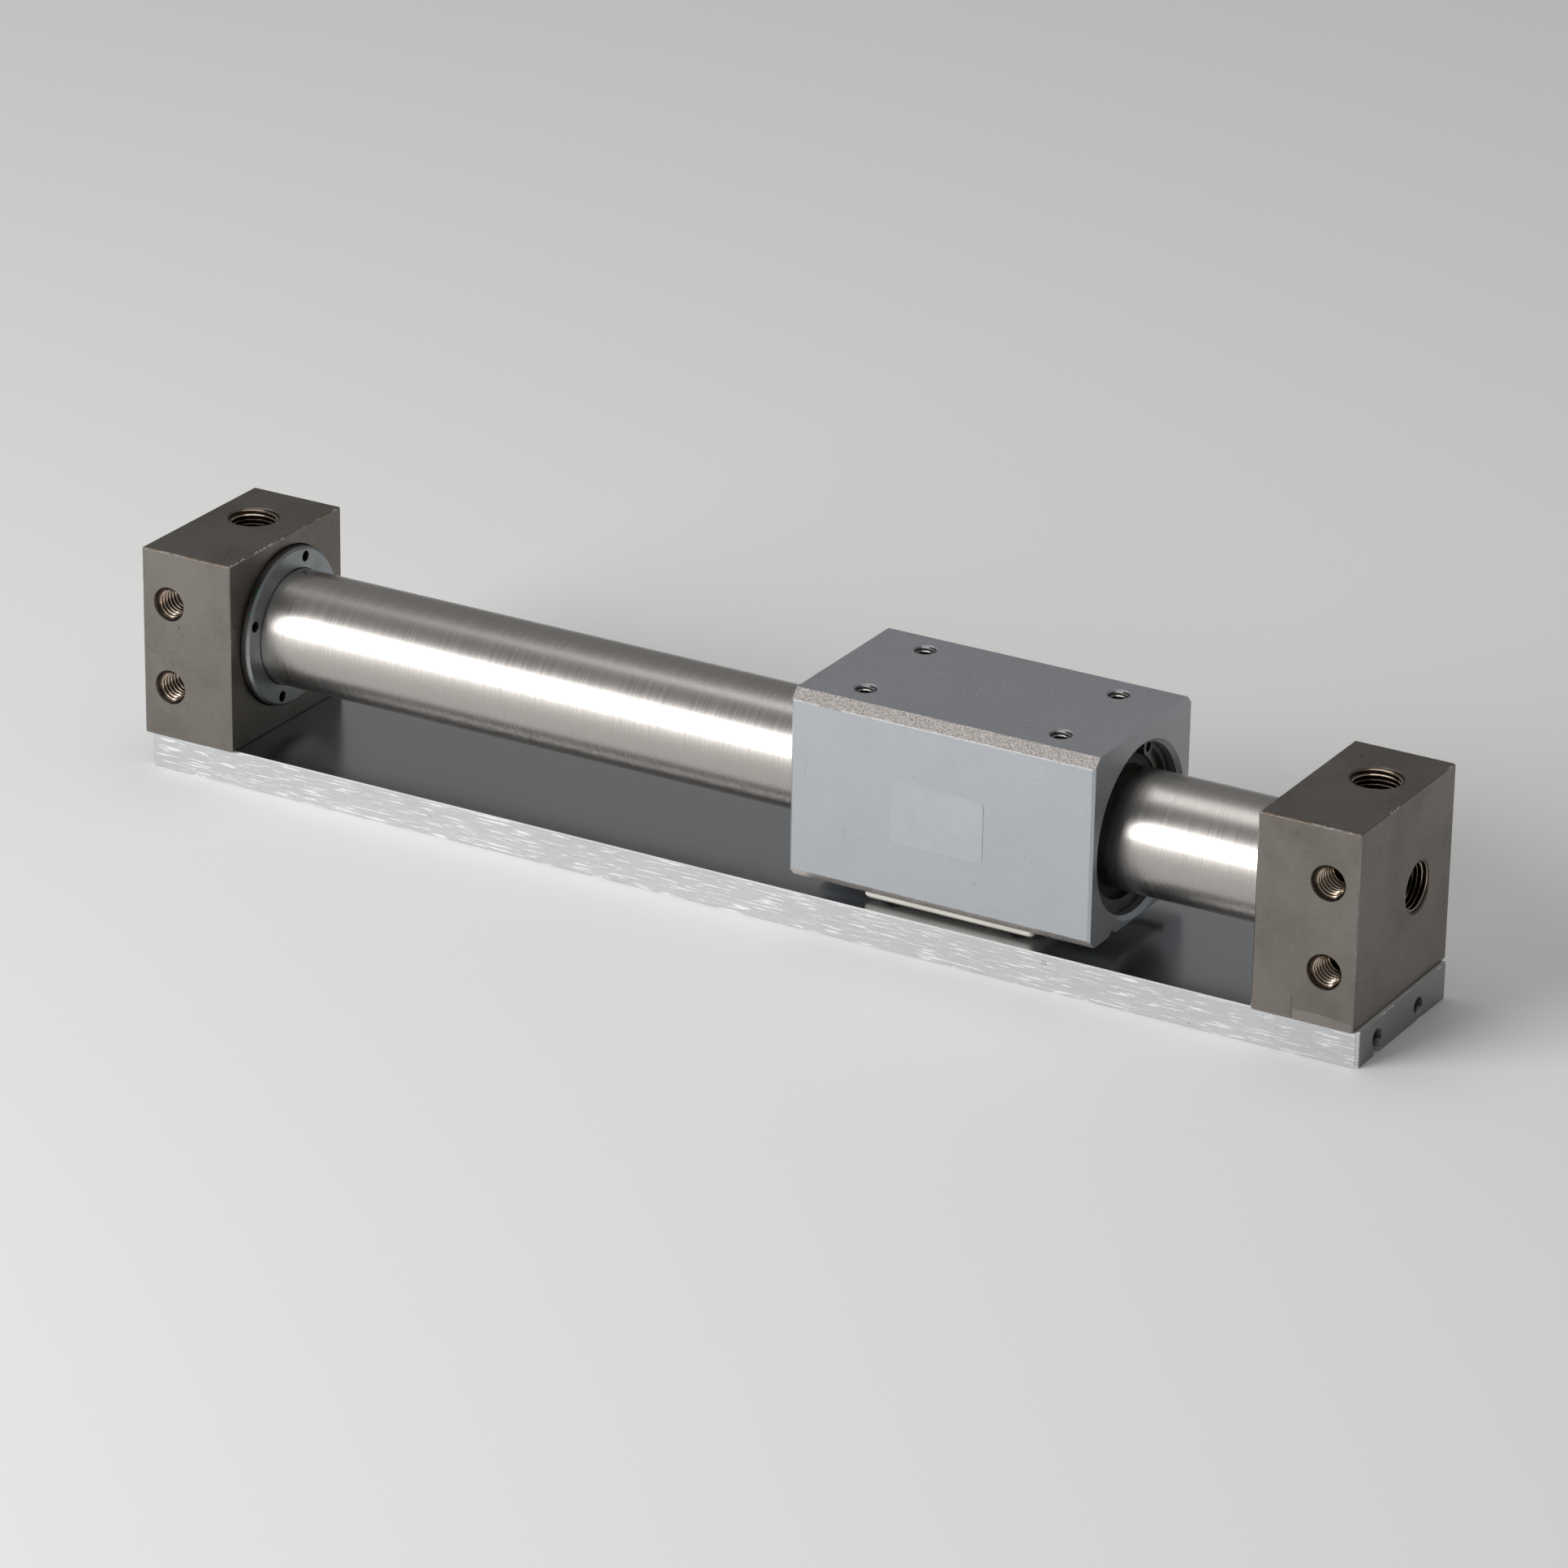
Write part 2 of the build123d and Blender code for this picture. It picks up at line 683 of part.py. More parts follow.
# Piston heads with their rings, nuts and bumpers
for side, sign in sides:
    head_start = slider_at_rest + sign * stack_length / 2

    def on_head(distance):
        # X of a point this far outwards from the stack
        return head_start + sign * distance

    band_start = piston_web
    band_end = band_start + piston_wear_width + groove_play
    seal_start = band_end + piston_web
    seal_end = seal_start + piston_seal_width + groove_play
    band_floor = seal_radius - piston_wear_wall - slide_fit
    seal_floor = seal_radius - piston_seal_wall - slide_fit
    recess_start = head_length - recess_depth
    thread_hole_radius = shaft_thread / 2 + shaft_fit
    with BuildPart() as piston_head:
        head_section = turned_face(
            [
                (on_head(0), shaft_hole_radius),
                (on_head(0), piston_radius),
                (on_head(band_start), piston_radius),
                (on_head(band_start), band_floor),
                (on_head(band_end), band_floor),
                (on_head(band_end), piston_radius),
                (on_head(seal_start), piston_radius),
                (on_head(seal_start), seal_floor),
                (on_head(seal_end), seal_floor),
                (on_head(seal_end), piston_radius),
                (on_head(head_length), piston_radius),
                (on_head(head_length), nut_recess / 2),
                (on_head(recess_start), nut_recess / 2),
                (on_head(recess_start), thread_hole_radius),
                (on_head(shaft_shoulder), thread_hole_radius),
                (on_head(shaft_shoulder), shaft_hole_radius),
            ]
        )
        revolve(head_section, axis=tube_axis)
    save(piston_head, f"{side}_piston_head")

    with BuildPart() as piston_wear_ring:
        band_near = band_start + groove_play / 2
        piston_band = turned_face(
            [
                (on_head(band_near), seal_radius - piston_wear_wall),
                (on_head(band_near), seal_radius),
                (on_head(band_near + piston_wear_width), seal_radius),
                (on_head(band_near + piston_wear_width), seal_radius - piston_wear_wall),
            ]
        )
        revolve(piston_band, axis=tube_axis, revolution_arc=360 - wear_ring_split)
    save(piston_wear_ring, f"{side}_piston_wear_ring")

    # Piston seal, a cup that opens towards the pressure
    with BuildPart() as piston_seal:
        cup_back = seal_start + groove_play / 2
        cup_front = cup_back + piston_seal_width
        cup_inner = seal_radius - piston_seal_wall
        cup_middle = (seal_radius + cup_inner) / 2
        cup_section = turned_face(
            [
                (on_head(cup_back), cup_inner),
                (on_head(cup_front), cup_inner),
                (on_head(cup_front), cup_inner + seal_lip),
                (on_head((cup_back + cup_front) / 2), cup_middle),
                (on_head(cup_front), seal_radius - seal_lip),
                (on_head(cup_front), seal_radius),
                (on_head(cup_front - seal_lip), seal_radius),
                (on_head(cup_back + seal_lip), piston_radius),
                (on_head(cup_back), piston_radius),
            ]
        )
        revolve(cup_section, axis=tube_axis)
    save(piston_seal, f"{side}_piston_seal")

    with BuildPart() as piston_nut:
        with BuildSketch(axis_plane.offset(on_head(recess_start))):
            RegularPolygon(nut_across_flats / 2, 6, major_radius=False)
            Circle(thread_hole_radius, mode=Mode.SUBTRACT)
        extrude(amount=sign * nut_height)
    save(piston_nut, f"{side}_piston_nut")

    # Bumper, with a spigot in the head's recess
    with BuildPart() as bumper:
        bumper_radius = bore_radius - bumper_wall_gap
        with BuildSketch(axis_plane.offset(on_head(head_length))):
            Circle(bumper_radius)
        extrude(amount=sign * bumper_length)
        fillet(bumper.edges(), bumper_rounding)
        with BuildSketch(axis_plane.offset(on_head(head_length + bumper_rounding))):
            Circle(nut_recess / 2)
        extrude(amount=-sign * (spigot_length + bumper_rounding))
        with BuildSketch(axis_plane.offset(on_head(head_length - spigot_length))):
            Circle(bumper_hole / 2)
        extrude(amount=sign * (bumper_length + spigot_length), mode=Mode.SUBTRACT)
    save(bumper, f"{side}_bumper")
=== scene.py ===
import json
from math import cos, pi, radians, sin

import bmesh
import bpy
from mathutils import Matrix, Quaternion, Vector


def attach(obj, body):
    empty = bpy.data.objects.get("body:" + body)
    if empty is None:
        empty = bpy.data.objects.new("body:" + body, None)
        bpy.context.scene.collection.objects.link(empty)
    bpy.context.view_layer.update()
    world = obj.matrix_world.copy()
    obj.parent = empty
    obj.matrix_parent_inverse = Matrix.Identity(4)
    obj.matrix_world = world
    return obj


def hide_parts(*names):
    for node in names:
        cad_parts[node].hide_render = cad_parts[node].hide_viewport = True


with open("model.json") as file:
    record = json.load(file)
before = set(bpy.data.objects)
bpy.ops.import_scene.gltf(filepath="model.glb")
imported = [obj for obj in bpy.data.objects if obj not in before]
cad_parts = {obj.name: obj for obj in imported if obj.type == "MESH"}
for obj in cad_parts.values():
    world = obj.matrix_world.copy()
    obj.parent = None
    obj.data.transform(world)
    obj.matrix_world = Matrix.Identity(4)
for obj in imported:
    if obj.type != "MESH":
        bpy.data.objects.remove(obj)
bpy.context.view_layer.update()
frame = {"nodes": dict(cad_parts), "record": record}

cadNodes = frame["nodes"]
mm = 0.001
sharpAngle = radians(35)
print("frame: loaded", len(cadNodes), "CAD nodes")


# Node helpers

vectorSocket = "NodeSocketVector"
floatSocket = "NodeSocketFloat"


def plug(tree, socket, value):  # a socket is linked, anything else is set
    if isinstance(value, bpy.types.NodeSocket):
        tree.links.new(value, socket)
    else:
        socket.default_value = value


def addNode(tree, kind, values=None, **settings):
    node = tree.nodes.new(kind)
    for name, value in settings.items():
        setattr(node, name, value)
    for key, value in (values or {}).items():
        plug(tree, node.inputs[key], value)
    return node


def calc(tree, operation, *values):
    return addNode(tree, "ShaderNodeMath", dict(enumerate(values)), operation=operation).outputs[0]


def vectorCalc(tree, operation, *values):
    return addNode(tree, "ShaderNodeVectorMath", dict(enumerate(values)), operation=operation).outputs[0]


def splitVector(tree, vector):
    return addNode(tree, "ShaderNodeSeparateXYZ", {0: vector}).outputs


def joinVector(tree, x, y, z):
    return addNode(tree, "ShaderNodeCombineXYZ", {0: x, 1: y, 2: z}).outputs[0]


def mapped(tree, value, low, high, toLow=0.0, toHigh=1.0):
    values = {"Value": value, "From Min": low, "From Max": high, "To Min": toLow, "To Max": toHigh}
    return addNode(tree, "ShaderNodeMapRange", values, interpolation_type="SMOOTHSTEP").outputs[0]


def mixed(tree, factor, first, second):
    node = addNode(tree, "ShaderNodeMix", data_type="RGBA")
    for index, value in ((0, factor), (6, first), (7, second)):
        plug(tree, node.inputs[index], value)
    return node.outputs[2]


def noise(tree, vector, scale, detail=3.0, roughness=0.55):
    values = {"Vector": vector, "Scale": scale, "Detail": detail, "Roughness": roughness}
    return addNode(tree, "ShaderNodeTexNoise", values).outputs[0]


def newGroup(name, inputs, outputs):
    group = bpy.data.node_groups.new(name, "ShaderNodeTree")
    for label, kind, value in inputs:
        socket = group.interface.new_socket(label, in_out="INPUT", socket_type=kind)
        if value is not None:
            socket.default_value = value
    for label in outputs:
        group.interface.new_socket(label, in_out="OUTPUT", socket_type=floatSocket)
    given = group.nodes.new("NodeGroupInput").outputs
    return group, given, group.nodes.new("NodeGroupOutput").inputs


def placeGroup(tree, group, **values):
    node = tree.nodes.new("ShaderNodeGroup")
    node.node_tree = group
    for key, value in values.items():
        plug(tree, node.inputs[key], value)
    return node.outputs


# Shared surface effects

def makeGrain():  # lines or specks, from noise stretched by its own scale on each axis
    group, given, out = newGroup("fineGrain", [
        ("Place", vectorSocket, None),
        ("Stretch", vectorSocket, (1000, 1000, 1000)),
        ("Contrast", floatSocket, 0.2),
    ], ["Height", "Streaks"])
    stretched = vectorCalc(group, "MULTIPLY", given["Place"], given["Stretch"])
    lines = noise(group, stretched, 1.0, 4.0, 0.6)
    low = calc(group, "SUBTRACT", 0.5, given["Contrast"])
    high = calc(group, "ADD", 0.5, given["Contrast"])
    group.links.new(lines, out["Height"])
    group.links.new(mapped(group, lines, low, high), out["Streaks"])
    return group


def makeBoxFinish():  # masks for a block: nicked edges, cut chamfers and the depth of its holes
    group, given, out = newGroup("boxFinish", [
        ("Place", vectorSocket, None),
        ("Normal", vectorSocket, None),
        ("Centre", vectorSocket, (0, 0, 0)),
        ("HalfSize", vectorSocket, (1, 1, 1)),
        ("NickWidth", floatSocket, 0.0003),
        ("NickAmount", floatSocket, 0.4),
        ("Reach", floatSocket, 0.0003),
    ], ["Nicks", "Chamfers", "Depth"])
    fromCentre = vectorCalc(group, "SUBTRACT", given["Place"], given["Centre"])
    inward = vectorCalc(group, "SUBTRACT", given["HalfSize"], vectorCalc(group, "ABSOLUTE", fromCentre))
    x, y, z = splitVector(group, inward)
    nearer = calc(group, "MINIMUM", x, y)
    farther = calc(group, "MAXIMUM", x, y)
    depth = calc(group, "MINIMUM", nearer, z)
    toEdge = calc(group, "MAXIMUM", nearer, calc(group, "MINIMUM", farther, z))
    ragged = mapped(group, noise(group, given["Place"], 1400.0, 3.0, 0.7), 0.35, 0.7, 0.2, 1.9)
    near = calc(group, "LESS_THAN", toEdge, calc(group, "MULTIPLY", given["NickWidth"], ragged))
    patches = noise(group, given["Place"], 190.0, 2.0)
    rare = calc(group, "SUBTRACT", 0.9, given["NickAmount"])
    kept = mapped(group, patches, rare, calc(group, "ADD", rare, 0.1))
    nx, ny, nz = splitVector(group, vectorCalc(group, "ABSOLUTE", given["Normal"]))
    smaller = calc(group, "MINIMUM", nx, ny)
    second = calc(group, "MAXIMUM", smaller, calc(group, "MINIMUM", calc(group, "MAXIMUM", nx, ny), nz))
    atEdge = calc(group, "LESS_THAN", toEdge, given["Reach"])
    group.links.new(calc(group, "MULTIPLY", near, kept), out["Nicks"])
    group.links.new(calc(group, "MULTIPLY", mapped(group, second, 0.4, 0.6), atEdge), out["Chamfers"])
    group.links.new(depth, out["Depth"])
    return group


def makeStains():  # soft blotches and small specks
    group, given, out = newGroup("stains", [
        ("Place", vectorSocket, None), ("Scale", floatSocket, 60.0), ("SpeckScale", floatSocket, 500.0),
    ], ["Blotches", "Specks"])
    cloud = noise(group, given["Place"], given["Scale"], 5.0, 0.6)
    dots = noise(group, given["Place"], given["SpeckScale"], 2.0, 0.5)
    group.links.new(mapped(group, cloud, 0.38, 0.68), out["Blotches"])
    group.links.new(mapped(group, dots, 0.74, 0.79), out["Specks"])
    return group


def makeScratches():  # a few hairlines, the rims of long thin cells
    group, given, out = newGroup("hairScratches", [
        ("Place", vectorSocket, None), ("Stretch", vectorSocket, (60, 60, 400)),
        ("Width", floatSocket, 0.02), ("Amount", floatSocket, 0.3),
    ], ["Mask"])
    wobbleValues = {"Vector": given["Place"], "Scale": 90.0, "Detail": 1.0}
    wobble = addNode(group, "ShaderNodeTexNoise", wobbleValues).outputs[1]
    bent = vectorCalc(group, "ADD", given["Place"], vectorCalc(group, "MULTIPLY", wobble, (0.006,) * 3))
    stretched = vectorCalc(group, "MULTIPLY", bent, given["Stretch"])
    cellValues = {"Vector": stretched, "Scale": 1.0}
    cells = addNode(group, "ShaderNodeTexVoronoi", cellValues, feature="DISTANCE_TO_EDGE").outputs[0]
    lines = calc(group, "LESS_THAN", cells, given["Width"])
    rare = calc(group, "SUBTRACT", 0.95, given["Amount"])
    kept = mapped(group, noise(group, given["Place"], 130.0, 1.0), rare, calc(group, "ADD", rare, 0.05))
    group.links.new(calc(group, "MULTIPLY", lines, kept), out["Mask"])
    return group


def makeTurning():  # rings left by the lathe round an axis along X
    group, given, out = newGroup("turningMarks", [
        ("Place", vectorSocket, None),
        ("AxisPoint", vectorSocket, (0, 0, 0.027)),
        ("Pitch", floatSocket, 0.0002),
    ], ["Height", "Radius"])
    apart = vectorCalc(group, "SUBTRACT", given["Place"], given["AxisPoint"])
    flat = vectorCalc(group, "MULTIPLY", apart, (0, 1, 1))
    radius = addNode(group, "ShaderNodeVectorMath", {0: flat}, operation="LENGTH").outputs["Value"]
    travel = calc(group, "ADD", radius, splitVector(group, apart)[0])
    turns = calc(group, "DIVIDE", travel, given["Pitch"])
    wave = calc(group, "SINE", calc(group, "MULTIPLY", turns, 2 * pi))
    rough = noise(group, joinVector(group, travel, 0.0, 0.0), 5000.0, 2.0)
    group.links.new(calc(group, "ADD", calc(group, "MULTIPLY", wave, 0.3), rough), out["Height"])
    group.links.new(radius, out["Radius"])
    return group


fineGrain = makeGrain()
boxFinish = makeBoxFinish()
stains = makeStains()
hairScratches = makeScratches()
turningMarks = makeTurning()
print("effects: 5 shared shader groups")


# Materials

def newMaterial(name, metallic, roughness, **constants):
    material = bpy.data.materials.new(name)
    material.use_nodes = True
    tree = material.node_tree
    tree.nodes.clear()
    output = tree.nodes.new("ShaderNodeOutputMaterial")
    shader = tree.nodes.new("ShaderNodeBsdfPrincipled")
    tree.links.new(shader.outputs[0], output.inputs[0])
    shader.inputs["Metallic"].default_value = metallic
    shader.inputs["Roughness"].default_value = roughness
    for key, value in constants.items():
        shader.inputs[key.replace("_", " ")].default_value = value
    where = addNode(tree, "ShaderNodeTexCoord").outputs
    return material, tree, shader.inputs, where["Object"], where["Normal"]


def addBump(tree, shader, height, strength, distance):
    values = {"Height": height, "Strength": strength, "Distance": distance}
    plug(tree, shader["Normal"], addNode(tree, "ShaderNodeBump", values).outputs[0])


def mirroredPlace(tree, place):  # both ends share one pattern box
    x, y, z = splitVector(tree, place)
    return joinVector(tree, calc(tree, "ABSOLUTE", x), y, z)


plateFinish = {
    "colour": (0.225, 0.205, 0.185, 1), "darker": (0.18, 0.162, 0.143, 1), "speck": (0.06, 0.05, 0.045, 1),
    "topEdgeReflection": (0.27, 0.19, 0.14, 1), "topEdgeHighlight": (0.56, 0.50, 0.44, 1),
    "sideEdgeHighlight": (0.265, 0.26, 0.25, 1), "nick": (0.82, 0.79, 0.76, 1),
    "hole": (0.10, 0.072, 0.052, 1), "holeMouth": (0.23, 0.175, 0.13, 1),
    "roughness": 0.38, "nickWidth": 0.00024, "nickAmount": 0.38,
    "centre": (0.1185, 0, 0.026), "halfSize": (0.010, 0.019, 0.019), "edge": 0.0004, "lineTop": 0.04483,
    "scratchX": 0.1167, "scratchTop": 0.0118, "scratchWidth": 0.00006, "palePatchTop": 0.0098,
}


def beyondBox(tree, place, middle, halfSize):  # below zero inside the box
    apart = vectorCalc(tree, "ABSOLUTE", vectorCalc(tree, "SUBTRACT", place, middle))
    x, y, z = splitVector(tree, vectorCalc(tree, "SUBTRACT", apart, halfSize))
    return calc(tree, "MAXIMUM", calc(tree, "MAXIMUM", x, y), z)


def plateScratch(tree, place):  # the hairline and a pale patch at the foot of the right plate's front
    p = plateFinish
    x, y, z = splitVector(tree, place)
    front = calc(tree, "LESS_THAN", y, -0.0189)
    wobble = calc(tree, "MULTIPLY", noise(tree, place, 500.0, 2.0), 0.0005)
    off = calc(tree, "ABSOLUTE", calc(tree, "ADD", calc(tree, "SUBTRACT", x, p["scratchX"]), wobble))
    thin = calc(tree, "LESS_THAN", off, p["scratchWidth"])
    line = calc(tree, "MULTIPLY", thin, calc(tree, "LESS_THAN", z, p["scratchTop"]))
    edge = calc(tree, "ADD", z, calc(tree, "MULTIPLY", noise(tree, place, 160.0, 3.0), 0.0016))
    rightOfLine = calc(tree, "GREATER_THAN", x, p["scratchX"])
    palePatch = calc(tree, "MULTIPLY", calc(tree, "LESS_THAN", edge, p["palePatchTop"]), rightOfLine)
    return calc(tree, "MULTIPLY", line, front), calc(tree, "MULTIPLY", palePatch, front)


def makePlateMetal():
    p = plateFinish
    material, tree, shader, place, normal = newMaterial("satinNickel", 1.0, p["roughness"])
    grain = placeGroup(tree, fineGrain, Place=place, Stretch=(900, 900, 2600), Contrast=0.25)
    marks = placeGroup(tree, stains, Place=place, Scale=55.0, SpeckScale=420.0)
    scratches = placeGroup(tree, hairScratches, Place=place, Stretch=(50, 50, 260), Width=0.010, Amount=0.34)
    block = placeGroup(
        tree, boxFinish, Place=mirroredPlace(tree, place), Normal=normal, Centre=p["centre"],
        HalfSize=p["halfSize"], NickWidth=p["nickWidth"], NickAmount=p["nickAmount"], Reach=p["edge"])
    line, palePatch = plateScratch(tree, place)
    # The chamfers are painted: a warm painted reflection on the top chamfer with a painted highlight line
    # along its lower part, and a pale bluish painted highlight on the vertical edge chamfers.
    level = splitVector(tree, normal)[2]
    low = calc(tree, "LESS_THAN", splitVector(tree, place)[2], p["lineTop"])
    topEdgeSheen = mixed(tree, low, p["topEdgeReflection"], p["topEdgeHighlight"])
    edgeSheen = mixed(tree, mapped(tree, level, 0.3, 0.6), p["sideEdgeHighlight"], topEdgeSheen)
    nicks = calc(tree, "MULTIPLY", block["Nicks"], mapped(tree, level, 0.0, 0.6, 0.10, 1.0))
    depth = block["Depth"]
    colour = mixed(tree, marks["Blotches"], p["colour"], p["darker"])
    colour = mixed(tree, calc(tree, "MULTIPLY", marks["Specks"], 0.8), colour, p["speck"])
    colour = mixed(tree, calc(tree, "MULTIPLY", scratches["Mask"], 0.25), colour, p["speck"])
    colour = mixed(tree, calc(tree, "MULTIPLY", palePatch, 0.10), colour, p["nick"])
    colour = mixed(tree, calc(tree, "MULTIPLY", line, 0.7), colour, p["speck"])
    colour = mixed(tree, calc(tree, "MULTIPLY", block["Chamfers"], 0.85), colour, edgeSheen)
    colour = mixed(tree, nicks, colour, p["nick"])
    # Painted shade in the holes: a slightly darker, warmer tone near the mouths and dark further in.
    colour = mixed(tree, mapped(tree, depth, 0.0002, 0.0010), colour, p["holeMouth"])
    colour = mixed(tree, mapped(tree, depth, 0.0040, 0.0120), colour, p["hole"])
    plug(tree, shader["Base Color"], colour)
    rough = mapped(tree, grain["Height"], 0.3, 0.7, p["roughness"] - 0.05, p["roughness"] + 0.07)
    plug(tree, shader["Roughness"], calc(tree, "SUBTRACT", rough, calc(tree, "MULTIPLY", nicks, 0.15)))
    addBump(tree, shader, grain["Height"], 0.10, 0.00004)
    return material


tubeFinish = {"colour": (0.50, 0.475, 0.45, 1), "streak": (0.40, 0.37, 0.345, 1), "roughness": 0.30}


def makeTubeSteel():
    p = tubeFinish
    material, tree, shader, place, normal = newMaterial("brushedTubeSteel", 1.0, p["roughness"])
    around = placeGroup(tree, fineGrain, Place=place, Stretch=(7000, 15, 15), Contrast=0.22)
    bands = placeGroup(tree, fineGrain, Place=place, Stretch=(600, 20, 20), Contrast=0.3)
    colour = mixed(tree, calc(tree, "MULTIPLY", around["Streaks"], 0.12), p["colour"], p["streak"])
    colour = mixed(tree, calc(tree, "MULTIPLY", bands["Streaks"], 0.12), colour, p["streak"])
    plug(tree, shader["Base Color"], colour)
    rough = mapped(tree, around["Height"], 0.3, 0.7, p["roughness"] - 0.045, p["roughness"] + 0.045)
    plug(tree, shader["Roughness"], rough)
    addBump(tree, shader, around["Height"], 0.008, 0.00002)
    return material


railFinish = {
    "side": (0.66, 0.665, 0.68, 1), "dash": (0.96, 0.965, 0.97, 1), "shade": (0.52, 0.53, 0.545, 1),
    "flat": (0.50, 0.515, 0.53, 1), "nick": (0.90, 0.90, 0.90, 1), "pit": (0.22, 0.22, 0.22, 1),
    "hole": (0.05, 0.05, 0.05, 1), "sawn": (0.30, 0.315, 0.325, 1),
    "lip": (0.88, 0.87, 0.85, 1), "lipStart": 0.12848,
    "centre": (0.0008, 0, 0.0035), "halfSize": (0.1285, 0.018, 0.0035),
    "nickWidth": 0.00018, "nickAmount": 0.35, "edge": 0.0004,
    "dentPlace": (0.0667, -0.018, 0.0054), "dentSize": (0.00048, 0.001, 0.00042), "dentRim": 0.00012,
}


def makeRailMetal():
    p = railFinish
    material, tree, shader, place, normal = newMaterial("brushedRail", 1.0, 0.3)
    lines = placeGroup(tree, fineGrain, Place=place, Stretch=(200, 1500, 7000), Contrast=0.14)
    dashes = placeGroup(tree, fineGrain, Place=place, Stretch=(150, 1500, 2800), Contrast=0.05)
    marks = placeGroup(tree, stains, Place=place, Scale=40.0, SpeckScale=700.0)
    block = placeGroup(
        tree, boxFinish, Place=place, Normal=normal, Centre=p["centre"], HalfSize=p["halfSize"],
        NickWidth=p["nickWidth"], NickAmount=p["nickAmount"], Reach=p["edge"])
    outOfDent = beyondBox(tree, place, p["dentPlace"], p["dentSize"])
    dent = calc(tree, "LESS_THAN", outOfDent, 0.0)
    dentRim = calc(tree, "MULTIPLY", dent, calc(tree, "GREATER_THAN", outOfDent, -p["dentRim"]))
    ways = splitVector(tree, vectorCalc(tree, "ABSOLUTE", normal))
    side, end = mapped(tree, ways[1], 0.3, 0.8), mapped(tree, ways[0], 0.3, 0.8)
    bright = calc(tree, "MULTIPLY", mapped(tree, dashes["Height"], 0.56, 0.60), side)
    colour = mixed(tree, side, mixed(tree, end, p["flat"], p["sawn"]), p["side"])
    streaks = calc(tree, "MULTIPLY", lines["Streaks"], calc(tree, "MULTIPLY", side, 0.5))
    colour = mixed(tree, streaks, colour, p["shade"])
    colour = mixed(tree, bright, colour, p["dash"])
    colour = mixed(tree, calc(tree, "MULTIPLY", marks["Specks"], 0.6), colour, p["pit"])
    colour = mixed(tree, calc(tree, "MAXIMUM", block["Nicks"], block["Chamfers"]), colour, p["nick"])
    # The dent is only painted: a darker patch with a darker rim, as painted shade of a small indentation that
    # is not modelled.
    colour = mixed(tree, calc(tree, "MULTIPLY", dent, 0.25), colour, p["pit"])
    colour = mixed(tree, calc(tree, "MULTIPLY", dentRim, 0.45), colour, p["pit"])
    lip = calc(tree, "GREATER_THAN", splitVector(tree, place)[0], p["lipStart"])
    lip = calc(tree, "MULTIPLY", lip, calc(tree, "GREATER_THAN", ways[2], 0.5))
    colour = mixed(tree, lip, colour, p["lip"])
    # Painted shade inside the rail's holes and slot.
    colour = mixed(tree, mapped(tree, block["Depth"], 0.0003, 0.0022), colour, p["hole"])
    plug(tree, shader["Base Color"], colour)
    dull = calc(tree, "MAXIMUM", calc(tree, "MAXIMUM", side, end), calc(tree, "MULTIPLY", lip, 2.2))
    rough = calc(tree, "ADD", 0.20, calc(tree, "MULTIPLY", dull, 0.18))
    plug(tree, shader["Roughness"], calc(tree, "ADD", rough, calc(tree, "MULTIPLY", marks["Blotches"], 0.04)))
    addBump(tree, shader, calc(tree, "MULTIPLY", lines["Height"], side), 0.25, 0.00004)
    return material


sliderFinish = {
    "colour": (0.445, 0.46, 0.485, 1), "sparkle": (0.68, 0.69, 0.71, 1), "shade": (0.39, 0.405, 0.43, 1),
    "milled": (0.46, 0.415, 0.385, 1), "milledBright": (0.74, 0.70, 0.67, 1),
    "scratch": (0.27, 0.28, 0.30, 1), "hole": (0.12, 0.11, 0.10, 1), "rim": (0.90, 0.90, 0.90, 1),
    "bevelHighlight": (0.56, 0.60, 0.63, 1), "roughness": 0.45,
    "centre": (0.045, 0, 0.0285), "halfSize": (0.031, 0.01875, 0.0185),
    "nickWidth": 0.0002, "nickAmount": 0.25, "edge": 0.00205,
    "chamfer": 0.002, "rimWidth": 0.0002,
}


